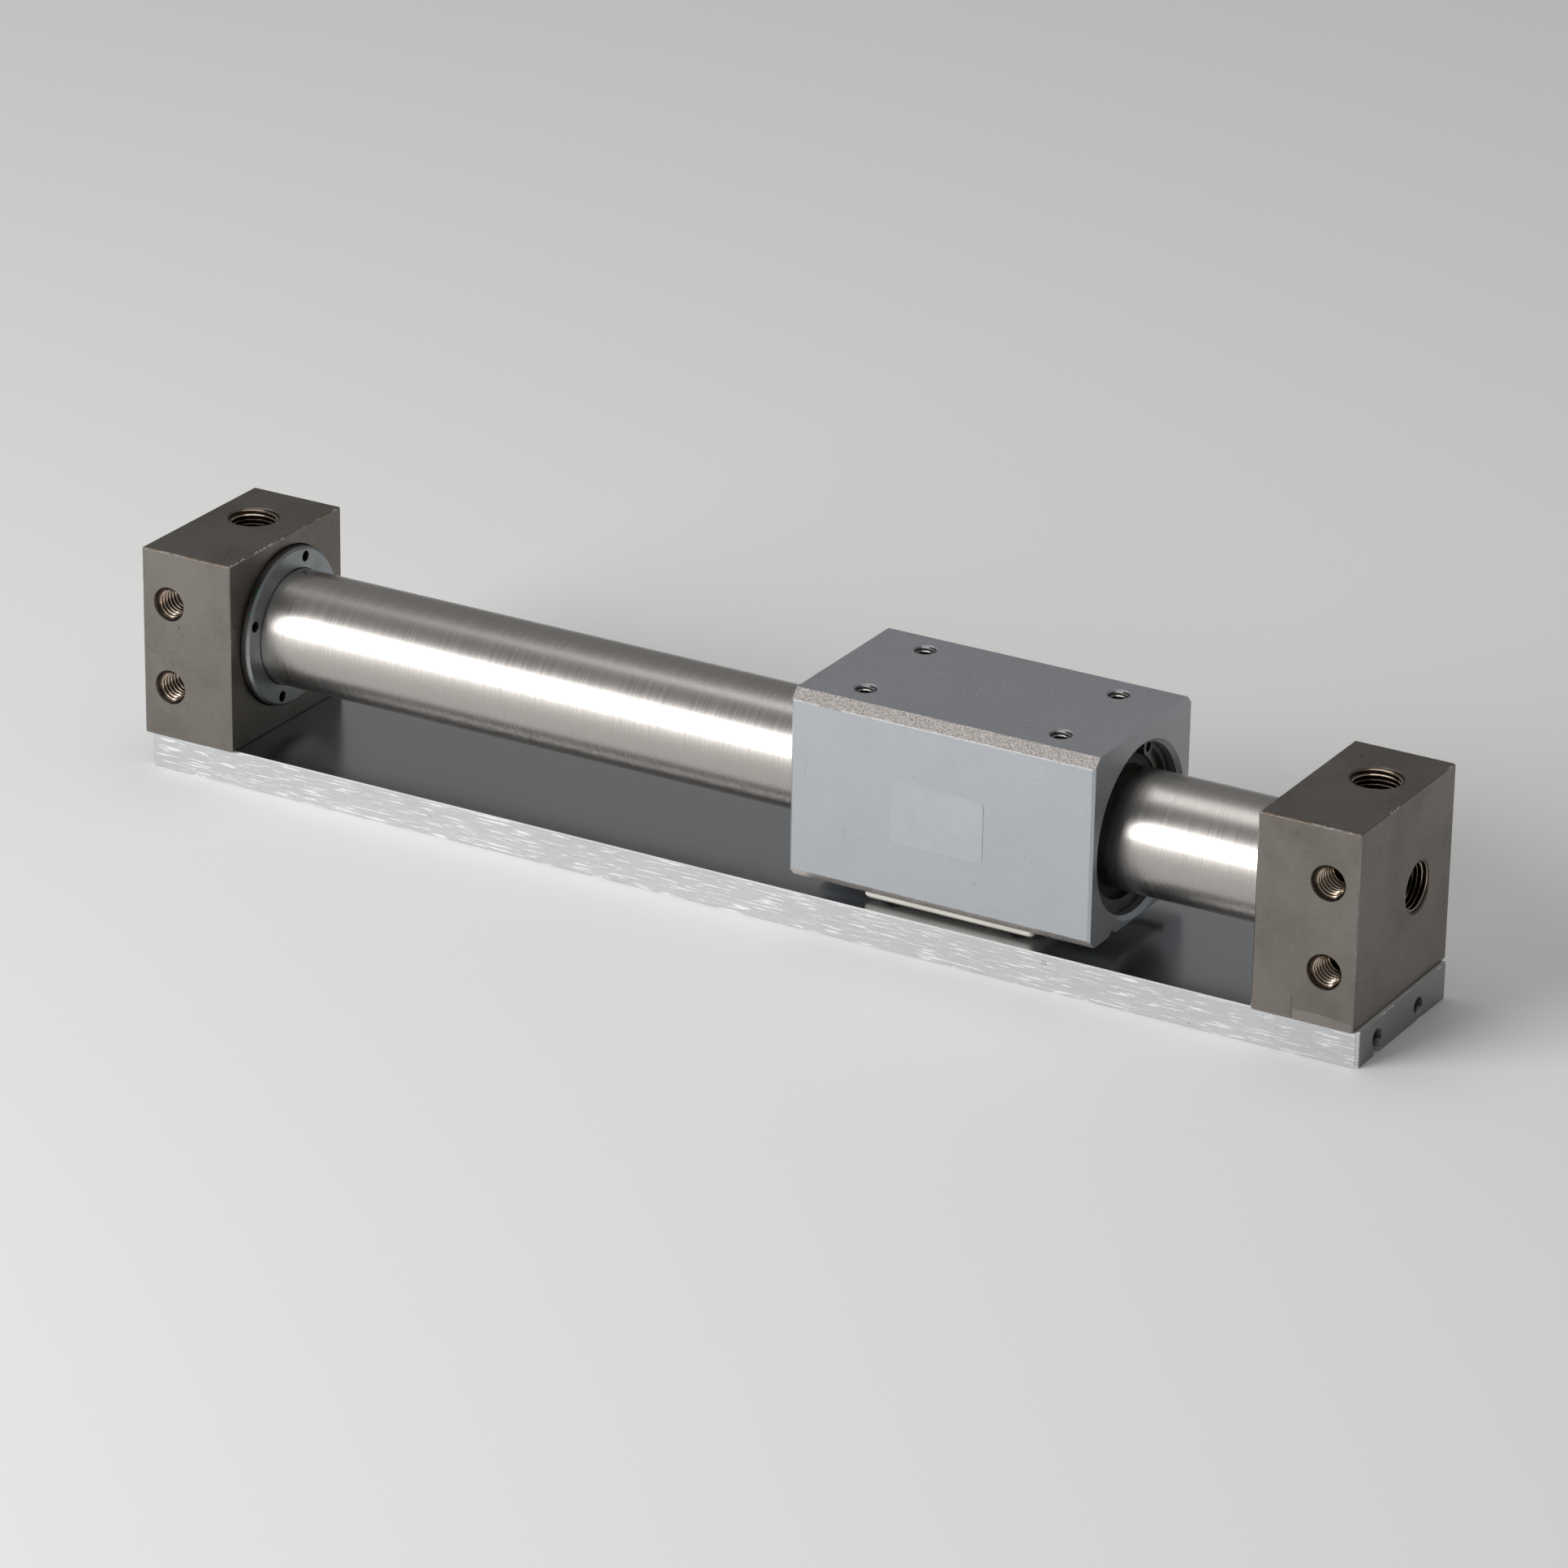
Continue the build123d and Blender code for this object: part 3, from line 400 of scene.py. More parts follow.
def makeSliderMetal():
    p = sliderFinish
    material, tree, shader, place, normal = newMaterial("blastedAnodised", 0.9, p["roughness"])
    grain = placeGroup(tree, fineGrain, Place=place, Stretch=(3800, 3800, 3800), Contrast=0.12)
    milled = placeGroup(tree, fineGrain, Place=place, Stretch=(2200, 4200, 4200), Contrast=0.10)
    marks = placeGroup(tree, stains, Place=place, Scale=70.0, SpeckScale=620.0)
    scratches = placeGroup(tree, hairScratches, Place=place, Stretch=(210, 210, 70), Width=0.008, Amount=0.28)
    block = placeGroup(
        tree, boxFinish, Place=place, Normal=normal, Centre=p["centre"], HalfSize=p["halfSize"],
        NickWidth=p["nickWidth"], NickAmount=p["nickAmount"], Reach=p["edge"])
    along = calc(tree, "LESS_THAN", calc(tree, "ABSOLUTE", splitVector(tree, normal)[0]), 0.3)
    chamfer = calc(tree, "MULTIPLY", block["Chamfers"], along)
    bevelHighlight = calc(tree, "MULTIPLY", block["Chamfers"], calc(tree, "SUBTRACT", 1.0, along))
    level = splitVector(tree, vectorCalc(tree, "SUBTRACT", place, p["centre"]))[2]
    fromLowEdge = calc(tree, "SUBTRACT", level, p["halfSize"][2] - p["chamfer"])
    whole = mapped(tree, noise(tree, place, 300.0, 2.0), 0.36, 0.40)  # the painted highlight line along the chamfer's lower edge breaks here and there
    rim = calc(tree, "LESS_THAN", calc(tree, "ABSOLUTE", fromLowEdge), p["rimWidth"])
    rim = calc(tree, "MULTIPLY", calc(tree, "MULTIPLY", rim, whole), chamfer)
    colour = mixed(tree, calc(tree, "MULTIPLY", marks["Blotches"], 0.25), p["colour"], p["shade"])
    sparkles = calc(tree, "MULTIPLY", mapped(tree, grain["Height"], 0.62, 0.72), 0.8)
    colour = mixed(tree, sparkles, colour, p["sparkle"])
    colour = mixed(tree, calc(tree, "MULTIPLY", marks["Specks"], 0.35), colour, p["scratch"])
    colour = mixed(tree, calc(tree, "MULTIPLY", scratches["Mask"], 0.5), colour, p["scratch"])
    colour = mixed(tree, chamfer, colour, mixed(tree, milled["Streaks"], p["milled"], p["milledBright"]))
    # The vertical edge bevels carry a pale bluish painted highlight.
    colour = mixed(tree, bevelHighlight, colour, p["bevelHighlight"])
    colour = mixed(tree, rim, colour, p["rim"])
    # Painted shade inside the holes.
    colour = mixed(tree, mapped(tree, block["Depth"], 0.0012, 0.004), colour, p["hole"])
    plug(tree, shader["Base Color"], colour)
    rough = mapped(tree, grain["Height"], 0.3, 0.7, p["roughness"] - 0.06, p["roughness"] + 0.06)
    plug(tree, shader["Roughness"], calc(tree, "SUBTRACT", rough, calc(tree, "MULTIPLY", chamfer, 0.08)))
    height = calc(tree, "MULTIPLY", grain["Height"], 0.35)
    height = calc(tree, "ADD", height, calc(tree, "MULTIPLY", milled["Height"], chamfer))
    addBump(tree, shader, height, 0.30, 0.00004)
    return material


ringFinish = {
    "colour": (0.37, 0.39, 0.40, 1), "shade": (0.30, 0.32, 0.33, 1), "side": (0.14, 0.135, 0.13, 1),
    "threadlock": (0.05, 0.22, 0.09, 1), "hole": (0.05, 0.05, 0.05, 1),
    "faceX": 0.1068, "sideRadius": 0.01555, "roughness": 0.34,
    "lockPlace": (-0.10745, -0.0125, 0.0361), "lockSize": (0.0002, 0.003, 0.0023),
}


def makeRingMetal():
    p = ringFinish
    material, tree, shader, place, normal = newMaterial("turnedRing", 1.0, p["roughness"])
    rings = placeGroup(tree, turningMarks, Place=place, Pitch=0.00016)
    marks = placeGroup(tree, stains, Place=place, Scale=160.0, SpeckScale=900.0)
    x, y, z = splitVector(tree, place)
    rim = calc(tree, "GREATER_THAN", rings["Radius"], p["sideRadius"])
    outOfLock = beyondBox(tree, place, p["lockPlace"], p["lockSize"])
    ragged = mapped(tree, noise(tree, place, 900.0), 0.38, 0.5)
    smear = calc(tree, "MULTIPLY", calc(tree, "LESS_THAN", outOfLock, 0.0), ragged)
    sunk = calc(tree, "SUBTRACT", calc(tree, "ABSOLUTE", x), p["faceX"])
    inner = calc(tree, "LESS_THAN", rings["Radius"], 0.0150)
    shadeInHoles = calc(tree, "MULTIPLY", mapped(tree, sunk, 0.0002, 0.0012), inner)
    colour = mixed(tree, marks["Blotches"], p["colour"], p["shade"])
    # The ring's outer side is painted dark: painted shade and a painted reflection of the dark plate.
    colour = mixed(tree, rim, colour, p["side"])
    colour = mixed(tree, calc(tree, "MULTIPLY", smear, 0.8), colour, p["threadlock"])
    # Painted shade behind the face inside the ring's inner radius: the bore and the spanner holes.
    colour = mixed(tree, shadeInHoles, colour, p["hole"])
    plug(tree, shader["Base Color"], colour)
    rough = mapped(tree, rings["Height"], 0.1, 0.9, p["roughness"] - 0.04, p["roughness"] + 0.06)
    plug(tree, shader["Roughness"], rough)
    addBump(tree, shader, rings["Height"], 0.12, 0.00004)
    return material


def makeTurnedMetal(name, colour, shade, roughness, pitch):
    material, tree, shader, place, normal = newMaterial(name, 1.0, roughness)
    rings = placeGroup(tree, turningMarks, Place=place, Pitch=pitch)
    marks = placeGroup(tree, stains, Place=place, Scale=180.0, SpeckScale=900.0)
    plug(tree, shader["Base Color"], mixed(tree, marks["Blotches"], colour, shade))
    rough = mapped(tree, rings["Height"], 0.1, 0.9, roughness - 0.05, roughness + 0.07)
    plug(tree, shader["Roughness"], rough)
    addBump(tree, shader, rings["Height"], 0.20, 0.00004)
    return material


def makeGrainyMetal(name, colour, shade, roughness, grainScale, metallic=1.0):
    material, tree, shader, place, normal = newMaterial(name, metallic, roughness)
    grain = placeGroup(tree, fineGrain, Place=place, Stretch=(grainScale,) * 3, Contrast=0.2)
    marks = placeGroup(tree, stains, Place=place, Scale=220.0, SpeckScale=1100.0)
    colour = mixed(tree, calc(tree, "MULTIPLY", marks["Blotches"], 0.6), colour, shade)
    colour = mixed(tree, calc(tree, "MULTIPLY", grain["Streaks"], 0.3), colour, shade)
    plug(tree, shader["Base Color"], colour)
    rough = mapped(tree, grain["Height"], 0.3, 0.7, roughness - 0.06, roughness + 0.08)
    plug(tree, shader["Roughness"], rough)
    addBump(tree, shader, grain["Height"], 0.25, 0.00004)
    return material


def makeThreadMetal(name, block, crestColour, shade, root):  # bright crests; the roots are darkened with painted shade and some grime, and the deep part of each hole with painted shade
    material, tree, shader, place, normal = newMaterial(name, 1.0, 0.2)
    grain = placeGroup(tree, fineGrain, Place=place, Stretch=(900,) * 3, Contrast=0.2)
    hole = placeGroup(
        tree, boxFinish, Place=mirroredPlace(tree, place), Normal=normal, Centre=block["centre"],
        HalfSize=block["halfSize"])
    crest = addNode(tree, "ShaderNodeAttribute", attribute_name="crest").outputs["Fac"]
    colour = mixed(tree, grain["Streaks"], crestColour, shade)
    # The roots take the dark colour as painted shade with some grime; deeper in the hole the same colour is
    # painted shade.
    colour = mixed(tree, mapped(tree, crest, 0.5, 1.0), root, colour)
    colour = mixed(tree, mapped(tree, hole["Depth"], 0.003, 0.012, 0.0, 0.8), colour, root)
    plug(tree, shader["Base Color"], colour)
    plug(tree, shader["Roughness"], mapped(tree, grain["Height"], 0.3, 0.7, 0.16, 0.25))
    return material


def makeMoulded(name, colour, shade, roughness, grainScale, bump):
    material, tree, shader, place, normal = newMaterial(name, 0.0, roughness)
    grain = placeGroup(tree, fineGrain, Place=place, Stretch=(grainScale,) * 3, Contrast=0.2)
    marks = placeGroup(tree, stains, Place=place, Scale=120.0, SpeckScale=900.0)
    colour = mixed(tree, calc(tree, "MULTIPLY", marks["Blotches"], 0.7), colour, shade)
    plug(tree, shader["Base Color"], colour)
    rough = mapped(tree, grain["Height"], 0.3, 0.7, roughness - 0.06, roughness + 0.06)
    plug(tree, shader["Roughness"], rough)
    addBump(tree, shader, grain["Height"], bump, 0.00005)
    return material


materials = {
    "end_plate": makePlateMetal(),
    "stainless_tube": makeTubeSteel(),
    "rail": makeRailMetal(),
    "slider_body": makeSliderMetal(),
    "attachment_ring": makeRingMetal(),
    "turned_aluminium": makeTurnedMetal(
        "turnedCollar", (0.26, 0.25, 0.22, 1), (0.19, 0.18, 0.15, 1), 0.42, 0.0002),
    "zinc_steel": makeTurnedMetal(
        "zincSteel", (0.55, 0.56, 0.57, 1), (0.45, 0.46, 0.45, 1), 0.32, 0.0003),
    "yoke_steel": makeTurnedMetal(
        "chromatedYoke", (0.50, 0.49, 0.42, 1), (0.41, 0.40, 0.33, 1), 0.35, 0.0002),
    "spring_steel": makeGrainyMetal(
        "springSteel", (0.17, 0.175, 0.18, 1), (0.10, 0.10, 0.10, 1), 0.42, 2600),
    "black_steel": makeGrainyMetal(
        "blackOxide", (0.045, 0.045, 0.05, 1), (0.03, 0.028, 0.026, 1), 0.38, 3000, 0.6),
    "magnet": makeGrainyMetal(
        "nickelMagnet", (0.60, 0.595, 0.58, 1), (0.50, 0.495, 0.48, 1), 0.22, 1800),
    "seal_rubber": makeMoulded(
        "nitrileRubber", (0.018, 0.018, 0.018, 1), (0.032, 0.031, 0.03, 1), 0.55, 2200, 0.3),
    "bumper_rubber": makeMoulded(
        "urethaneBumper", (0.16, 0.10, 0.035, 1), (0.10, 0.06, 0.02, 1), 0.45, 1500, 0.25),
    "bearing_plastic": makeMoulded(
        "bearingResin", (0.50, 0.42, 0.28, 1), (0.42, 0.35, 0.22, 1), 0.42, 2500, 0.2),
    "felt": makeMoulded(
        "greasedFelt", (0.36, 0.32, 0.24, 1), (0.22, 0.19, 0.13, 1), 0.85, 4200, 0.9),
    "white_plastic": makeMoulded(
        "padResin", (0.66, 0.635, 0.575, 1), (0.58, 0.555, 0.495, 1), 0.45, 1600, 0.15),
}
# Each triple is crest colour, grain tone and a dark colour that paints shade into the thread roots and the
# depth of the holes.
copper = ((0.80, 0.67, 0.54, 1), (0.64, 0.51, 0.40, 1), (0.07, 0.05, 0.037, 1))
silver = ((0.82, 0.80, 0.77, 1), (0.70, 0.68, 0.65, 1), (0.13, 0.125, 0.12, 1))
plateThreadMetal = makeThreadMetal("plateThread", plateFinish, *copper)
sliderThreadMetal = makeThreadMetal("sliderThread", sliderFinish, *silver)
burrMetal = makeGrainyMetal("sawBurr", (0.84, 0.83, 0.81, 1), (0.66, 0.65, 0.63, 1), 0.45, 2500, 0.4)
for subpart in frame["record"]["subparts"]:
    slots = cadNodes[subpart["node"]].data.materials
    if not slots:
        slots.append(None)
    for index in range(len(slots)):
        slots[index] = materials[subpart["material_slot"]]
print("materials:", len(materials) + 3, "made and put on the CAD nodes")


# Geometry Nodes helpers

def newGeometryTree(name, inputs):
    tree = bpy.data.node_groups.new(name, "GeometryNodeTree")
    tree.interface.new_socket("Geometry", in_out="INPUT", socket_type="NodeSocketGeometry")
    for label, kind, value in inputs:
        socket = tree.interface.new_socket(label, in_out="INPUT", socket_type=kind)
        if value is not None:
            socket.default_value = value
    tree.interface.new_socket("Geometry", in_out="OUTPUT", socket_type="NodeSocketGeometry")
    return tree, tree.nodes.new("NodeGroupInput").outputs, tree.nodes.new("NodeGroupOutput").inputs


def finishTree(tree, instances, material, out):
    real = addNode(tree, "GeometryNodeRealizeInstances", {0: instances}).outputs[0]
    painted = addNode(tree, "GeometryNodeSetMaterial", {"Geometry": real, "Material": material}).outputs[0]
    tree.links.new(painted, out["Geometry"])


def addPiece(name, mesh, body):
    piece = bpy.data.objects.new(name, mesh)
    bpy.context.scene.collection.objects.link(piece)
    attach(piece, body)
    return piece


def growMesh(name, tree, points, values, axes=None, edges=()):  # runs the tree, keeps a plain mesh
    mesh = bpy.data.meshes.new(name + "Points")
    mesh.from_pydata(points, edges, [])
    if axes:
        attribute = mesh.attributes.new("axis", "FLOAT_VECTOR", "POINT")
        attribute.data.foreach_set("vector", [part for axis in axes for part in axis])
    source = bpy.data.objects.new(name + "Source", mesh)
    bpy.context.scene.collection.objects.link(source)
    modifier = source.modifiers.new("build", "NODES")
    modifier.node_group = tree
    for item in tree.interface.items_tree:  # inputs are set by identifier, before the first evaluation
        if item.in_out == "INPUT" and item.name in values:
            modifier[item.identifier] = values[item.name]
    graph = bpy.context.evaluated_depsgraph_get()
    made = bpy.data.meshes.new_from_object(source.evaluated_get(graph))
    made.name = name
    made.shade_smooth()
    made.set_sharp_from_angle(angle=sharpAngle)
    source.modifiers.remove(modifier)
    bpy.data.objects.remove(source)
    return made


# Thread ridges in the tapped holes

threads = {  # millimetres; wall is the radius of the drilled hole that the ridges stand on
    "side": {"wall": 3.0, "pitch": 1.0, "length": 6.9, "ridge": 0.56, "start": 0.6, "steps": 36},
    "topPort": {"wall": 4.865, "pitch": 0.907, "length": 8.3, "ridge": 0.56, "start": 0.3, "steps": 48},
    "endPort": {"wall": 4.865, "pitch": 0.907, "length": 4.8, "ridge": 0.56, "start": 0.3, "steps": 48},
    "load": {"wall": 2.0, "pitch": 0.7, "length": 5.3, "ridge": 0.38, "start": 0.25, "steps": 32},
}
holes = {  # the mouth of each hole and the way it goes in
    "side": [((x, y, z), (0, -y, 0)) for x in (-122.5, 122.5) for y in (-19, 19) for z in (17.5, 34.5)],
    "topPort": [((x, 5.5, 45), (0, 0, -1)) for x in (-119.5, 119.5)],
    "endPort": [((x, 5.5, 26), (-x, 0, 0)) for x in (-128.5, 128.5)],
    "load": [((x, y, 47), (0, 0, -1)) for x in (25, 65) for y in (-11, 11)],
}


def makeThreadTree():
    tree, given, out = newGeometryTree("threadRidges", [
        ("wall", floatSocket, 0.003),
        ("pitch", floatSocket, 0.001),
        ("length", floatSocket, 0.007),
        ("ridge", floatSocket, 0.0005),
        ("start", floatSocket, 0.0005),
        ("steps", "NodeSocketInt", 32),
        ("material", "NodeSocketMaterial", None),
    ])
    turns = calc(tree, "DIVIDE", given["length"], given["pitch"])
    helix = addNode(tree, "GeometryNodeCurveSpiral", {
        "Resolution": given["steps"], "Rotations": turns, "Height": given["length"],
        "Start Radius": given["wall"], "End Radius": given["wall"], "Reverse": True}).outputs[0]
    upright = addNode(tree, "GeometryNodeSetCurveNormal", {"Curve": helix}, mode="Z_UP").outputs[0]
    root = calc(tree, "MULTIPLY", given["ridge"], 0.06)  # the ridge's foot lies just inside the wall
    crest = calc(tree, "MULTIPLY", given["ridge"], -1.0)
    corners = ((root, 0.49), (crest, 0.07), (crest, -0.07), (root, -0.49))
    points = {}
    for number, (height, halfWidth) in enumerate(corners, 1):
        width = calc(tree, "MULTIPLY", given["pitch"], halfWidth)
        points[f"Point {number}"] = joinVector(tree, height, width, 0.0)
    profile = addNode(tree, "GeometryNodeCurvePrimitiveQuadrilateral", points, mode="POINTS").outputs[0]
    pointIndex = addNode(tree, "GeometryNodeInputIndex").outputs[0]  # points 1 and 2 make the crest
    fromCrest = calc(tree, "ABSOLUTE", calc(tree, "SUBTRACT", pointIndex, 1.5))
    isCrest = calc(tree, "LESS_THAN", fromCrest, 1.0)
    profile = addNode(tree, "GeometryNodeStoreNamedAttribute", {
        "Geometry": profile, "Name": "crest", "Value": isCrest}, data_type="FLOAT").outputs[0]
    along = addNode(tree, "GeometryNodeSplineParameter").outputs["Factor"]
    fromStart = calc(tree, "MULTIPLY", along, turns)
    nearerEnd = calc(tree, "MINIMUM", fromStart, calc(tree, "SUBTRACT", turns, fromStart))
    runOut = calc(tree, "MULTIPLY", nearerEnd, 3.0)  # the ridge grows out of the wall at both ends
    scale = calc(tree, "MINIMUM", calc(tree, "MAXIMUM", runOut, 0.06), 1.0)
    ridge = addNode(tree, "GeometryNodeCurveToMesh", {
        "Curve": upright, "Profile Curve": profile, "Scale": scale, "Fill Caps": True}).outputs[0]
    offset = joinVector(tree, 0.0, 0.0, given["start"])
    ridge = addNode(tree, "GeometryNodeTransform", {"Geometry": ridge, "Translation": offset}).outputs[0]
    axisValues = {"Name": "axis"}
    axis = addNode(tree, "GeometryNodeInputNamedAttribute", axisValues, data_type="FLOAT_VECTOR").outputs[0]
    turn = addNode(tree, "FunctionNodeAlignRotationToVector", {"Vector": axis}, axis="Z").outputs[0]
    spread = addNode(tree, "GeometryNodeInstanceOnPoints", {
        "Points": given["Geometry"], "Instance": ridge, "Rotation": turn}).outputs[0]
    finishTree(tree, spread, given["material"], out)
    return tree


def addThreads(kind, name, body, material):
    sizes = threads[kind]
    values = {key: size * mm for key, size in sizes.items() if key != "steps"}
    values.update(steps=sizes["steps"], material=material)
    mouths = [Vector(mouth) * mm for mouth, axis in holes[kind]]
    axes = [Vector(axis).normalized() for mouth, axis in holes[kind]]
    mesh = growMesh(name, threadRidges, mouths, values, axes)
    addPiece(name, mesh, body)
    print("threads:", name, len(mesh.polygons), "faces")


threadRidges = makeThreadTree()
addThreads("side", "plate_side_threads", "cylinder_frame", plateThreadMetal)
addThreads("topPort", "top_port_threads", "cylinder_frame", plateThreadMetal)
addThreads("endPort", "end_port_threads", "cylinder_frame", plateThreadMetal)
addThreads("load", "load_hole_threads", "slider", sliderThreadMetal)


# End plates with countersunk side holes, in millimetres

countersink = {
    "mouthRadius": 3.42, "throatRadius": 3.0, "depth": 0.9, "margin": 0.05, "segments": 72,
    "weld": 0.0001, "sliver": 0.001,
}


def addCone(shape, mouth, axis):  # widest just outside the mouth, and as wide as the hole at its depth
    c = countersink
    spare = c["margin"] * (c["mouthRadius"] - c["throatRadius"]) / c["depth"]
    axis = Vector(axis).normalized()
    turn = Vector((0, 0, 1)).rotation_difference(axis).to_matrix().to_4x4()
    place = Matrix.Translation((Vector(mouth) + axis * c["depth"] / 2) * mm) @ turn
    bmesh.ops.create_cone(
        shape, cap_ends=True, segments=c["segments"], radius1=(c["mouthRadius"] + spare) * mm,
        radius2=(c["throatRadius"] - spare) * mm, depth=(c["depth"] + 2 * c["margin"]) * mm, matrix=place)


def plainObject(name, shape):  # a mesh with nothing but its points and faces
    shape.verts.index_update()
    mesh = bpy.data.meshes.new(name)
    faces = [[corner.index for corner in face.verts] for face in shape.faces]
    mesh.from_pydata([corner.co for corner in shape.verts], [], faces)
    shape.free()
    made = bpy.data.objects.new(name, mesh)
    bpy.context.scene.collection.objects.link(made)
    return made


def addCountersunkPlate(side, direction):
    node = side + "_end_plate"
    block = bmesh.new()
    block.from_mesh(cadNodes[node].data)
    bmesh.ops.remove_doubles(block, verts=block.verts, dist=countersink["weld"] * mm)
    blank = plainObject(node + "_blank", block)
    cones = bmesh.new()
    for mouth, axis in holes["side"]:
        if mouth[0] * direction > 0:
            addCone(cones, mouth, axis)
    cutter = plainObject(node + "_cutter", cones)
    cut = blank.modifiers.new("cut", "BOOLEAN")
    cut.operation, cut.solver, cut.object = "DIFFERENCE", "EXACT", cutter
    graph = bpy.context.evaluated_depsgraph_get()
    mesh = bpy.data.meshes.new_from_object(blank.evaluated_get(graph))
    clean = bmesh.new()
    clean.from_mesh(mesh)
    sliver = countersink["sliver"] * mm
    bmesh.ops.remove_doubles(clean, verts=clean.verts, dist=sliver)
    bmesh.ops.dissolve_degenerate(clean, edges=clean.edges, dist=sliver)
    clean.to_mesh(mesh)
    clean.free()
    mesh.name = side + "_plate_countersunk"
    mesh.materials.clear()
    mesh.materials.append(materials["end_plate"])
    mesh.shade_smooth()
    mesh.set_sharp_from_angle(angle=sharpAngle)
    for helper in (blank, cutter):
        bpy.data.objects.remove(helper)
    piece = addPiece(mesh.name, mesh, "cylinder_frame")
    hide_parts(node)
    print("plate:", mesh.name, len(mesh.polygons), "faces")


addCountersunkPlate("left", -1)
addCountersunkPlate("right", 1)


# Ragged lip along the rail's cut end, in millimetres

burr = {
    "x": 129.06, "z": 7.0, "halfLength": 17.3, "points": 900, "width": 0.15, "height": 0.05,
    "thinnest": 0.25, "thickest": 1.2, "sway": 0.05, "scale": 2600.0,
}


def makeBurrTree():
    tree, given, out = newGeometryTree("sawBurr", [
        ("width", floatSocket, 0.0003),
        ("height", floatSocket, 0.0001),
        ("thinnest", floatSocket, 0.2),
        ("thickest", floatSocket, 1.5),
        ("sway", floatSocket, 0.0001),
        ("scale", floatSocket, 2500.0),
        ("material", "NodeSocketMaterial", None),
    ])
    position = addNode(tree, "GeometryNodeInputPosition").outputs[0]
    wander = calc(tree, "SUBTRACT", noise(tree, position, given["scale"], 2.0), 0.5)
    sideways = calc(tree, "MULTIPLY", calc(tree, "MULTIPLY", wander, given["sway"]), 4.0)
    shift = joinVector(tree, sideways, 0.0, 0.0)
    line = addNode(tree, "GeometryNodeMeshToCurve", {"Mesh": given["Geometry"]}).outputs[0]
    line = addNode(tree, "GeometryNodeSetPosition", {"Geometry": line, "Offset": shift}).outputs[0]
    line = addNode(tree, "GeometryNodeSetCurveNormal", {"Curve": line}, mode="Z_UP").outputs[0]
    corners = {}
    for number, (side, up) in enumerate(((1, -1), (0.6, 1), (-0.6, 1), (-1, -1)), 1):
        x, y = calc(tree, "MULTIPLY", given["width"], side), calc(tree, "MULTIPLY", given["height"], up)
        corners[f"Point {number}"] = joinVector(tree, x, y, 0.0)
    profile = addNode(tree, "GeometryNodeCurvePrimitiveQuadrilateral", corners, mode="POINTS").outputs[0]
    patches = noise(tree, vectorCalc(tree, "ADD", position, (1.0, 2.0, 3.0)), given["scale"], 4.0, 0.7)
    size = mapped(tree, patches, 0.3, 0.7, given["thinnest"], given["thickest"])
    lip = addNode(tree, "GeometryNodeCurveToMesh", {
        "Curve": line, "Profile Curve": profile, "Scale": size, "Fill Caps": True}).outputs[0]
    finishTree(tree, lip, given["material"], out)
    return tree


def addBurr():
    b = burr
    spacing = 2 * b["halfLength"] / (b["points"] - 1)
    steps = range(b["points"])
    points = [Vector((b["x"], spacing * index - b["halfLength"], b["z"])) * mm for index in steps]
    values = {key: b[key] * mm for key in ("width", "height", "sway")}
    values.update(thinnest=b["thinnest"], thickest=b["thickest"], scale=b["scale"], material=burrMetal)
    edges = [(index, index + 1) for index in range(b["points"] - 1)]
    mesh = growMesh("rail_saw_burr", makeBurrTree(), points, values, edges=edges)
    addPiece("rail_saw_burr", mesh, "cylinder_frame")
    print("rail: saw burr of", len(mesh.polygons), "faces")


addBurr()


# Bare film in the label's place on the slider, in millimetres

film = {
    "left": 34.9, "right": 53.9, "bottom": 21.8, "top": 34.0, "corner": 1.1, "cornerSteps": 6,
    "front": -18.75, "thickness": 0.06, "colour": (0.465, 0.48, 0.505, 1), "cloud": (0.445, 0.46, 0.485, 1),
    "rim": (0.36, 0.37, 0.39, 1), "rimWidth": 0.14,
}


def makeFilmMaterial():
    f = film
    coat = {"Coat_Weight": 0.5, "Coat_Roughness": 0.12}
    material, tree, shader, place, normal = newMaterial("clearFilm", 0.6, 0.34, **coat)
    wrinkles = noise(tree, place, 420.0, 2.0)
    x, y, z = splitVector(tree, place)
    halfWidth, halfHeight = (f["right"] - f["left"]) / 2 * mm, (f["top"] - f["bottom"]) / 2 * mm
    fromMiddleX = calc(tree, "ABSOLUTE", calc(tree, "SUBTRACT", x, f["left"] * mm + halfWidth))
    fromMiddleZ = calc(tree, "ABSOLUTE", calc(tree, "SUBTRACT", z, f["bottom"] * mm + halfHeight))
    beyondX = calc(tree, "SUBTRACT", fromMiddleX, halfWidth)
    beyond = calc(tree, "MAXIMUM", beyondX, calc(tree, "SUBTRACT", fromMiddleZ, halfHeight))
    rim = calc(tree, "GREATER_THAN", beyond, -f["rimWidth"] * mm)
    colour = mixed(tree, mapped(tree, noise(tree, place, 90.0), 0.35, 0.65), f["colour"], f["cloud"])
    plug(tree, shader["Base Color"], mixed(tree, calc(tree, "MULTIPLY", rim, 0.6), colour, f["rim"]))
    plug(tree, shader["Roughness"], mapped(tree, wrinkles, 0.3, 0.7, 0.31, 0.38))
    addBump(tree, shader, wrinkles, 0.10, 0.00005)
    return material


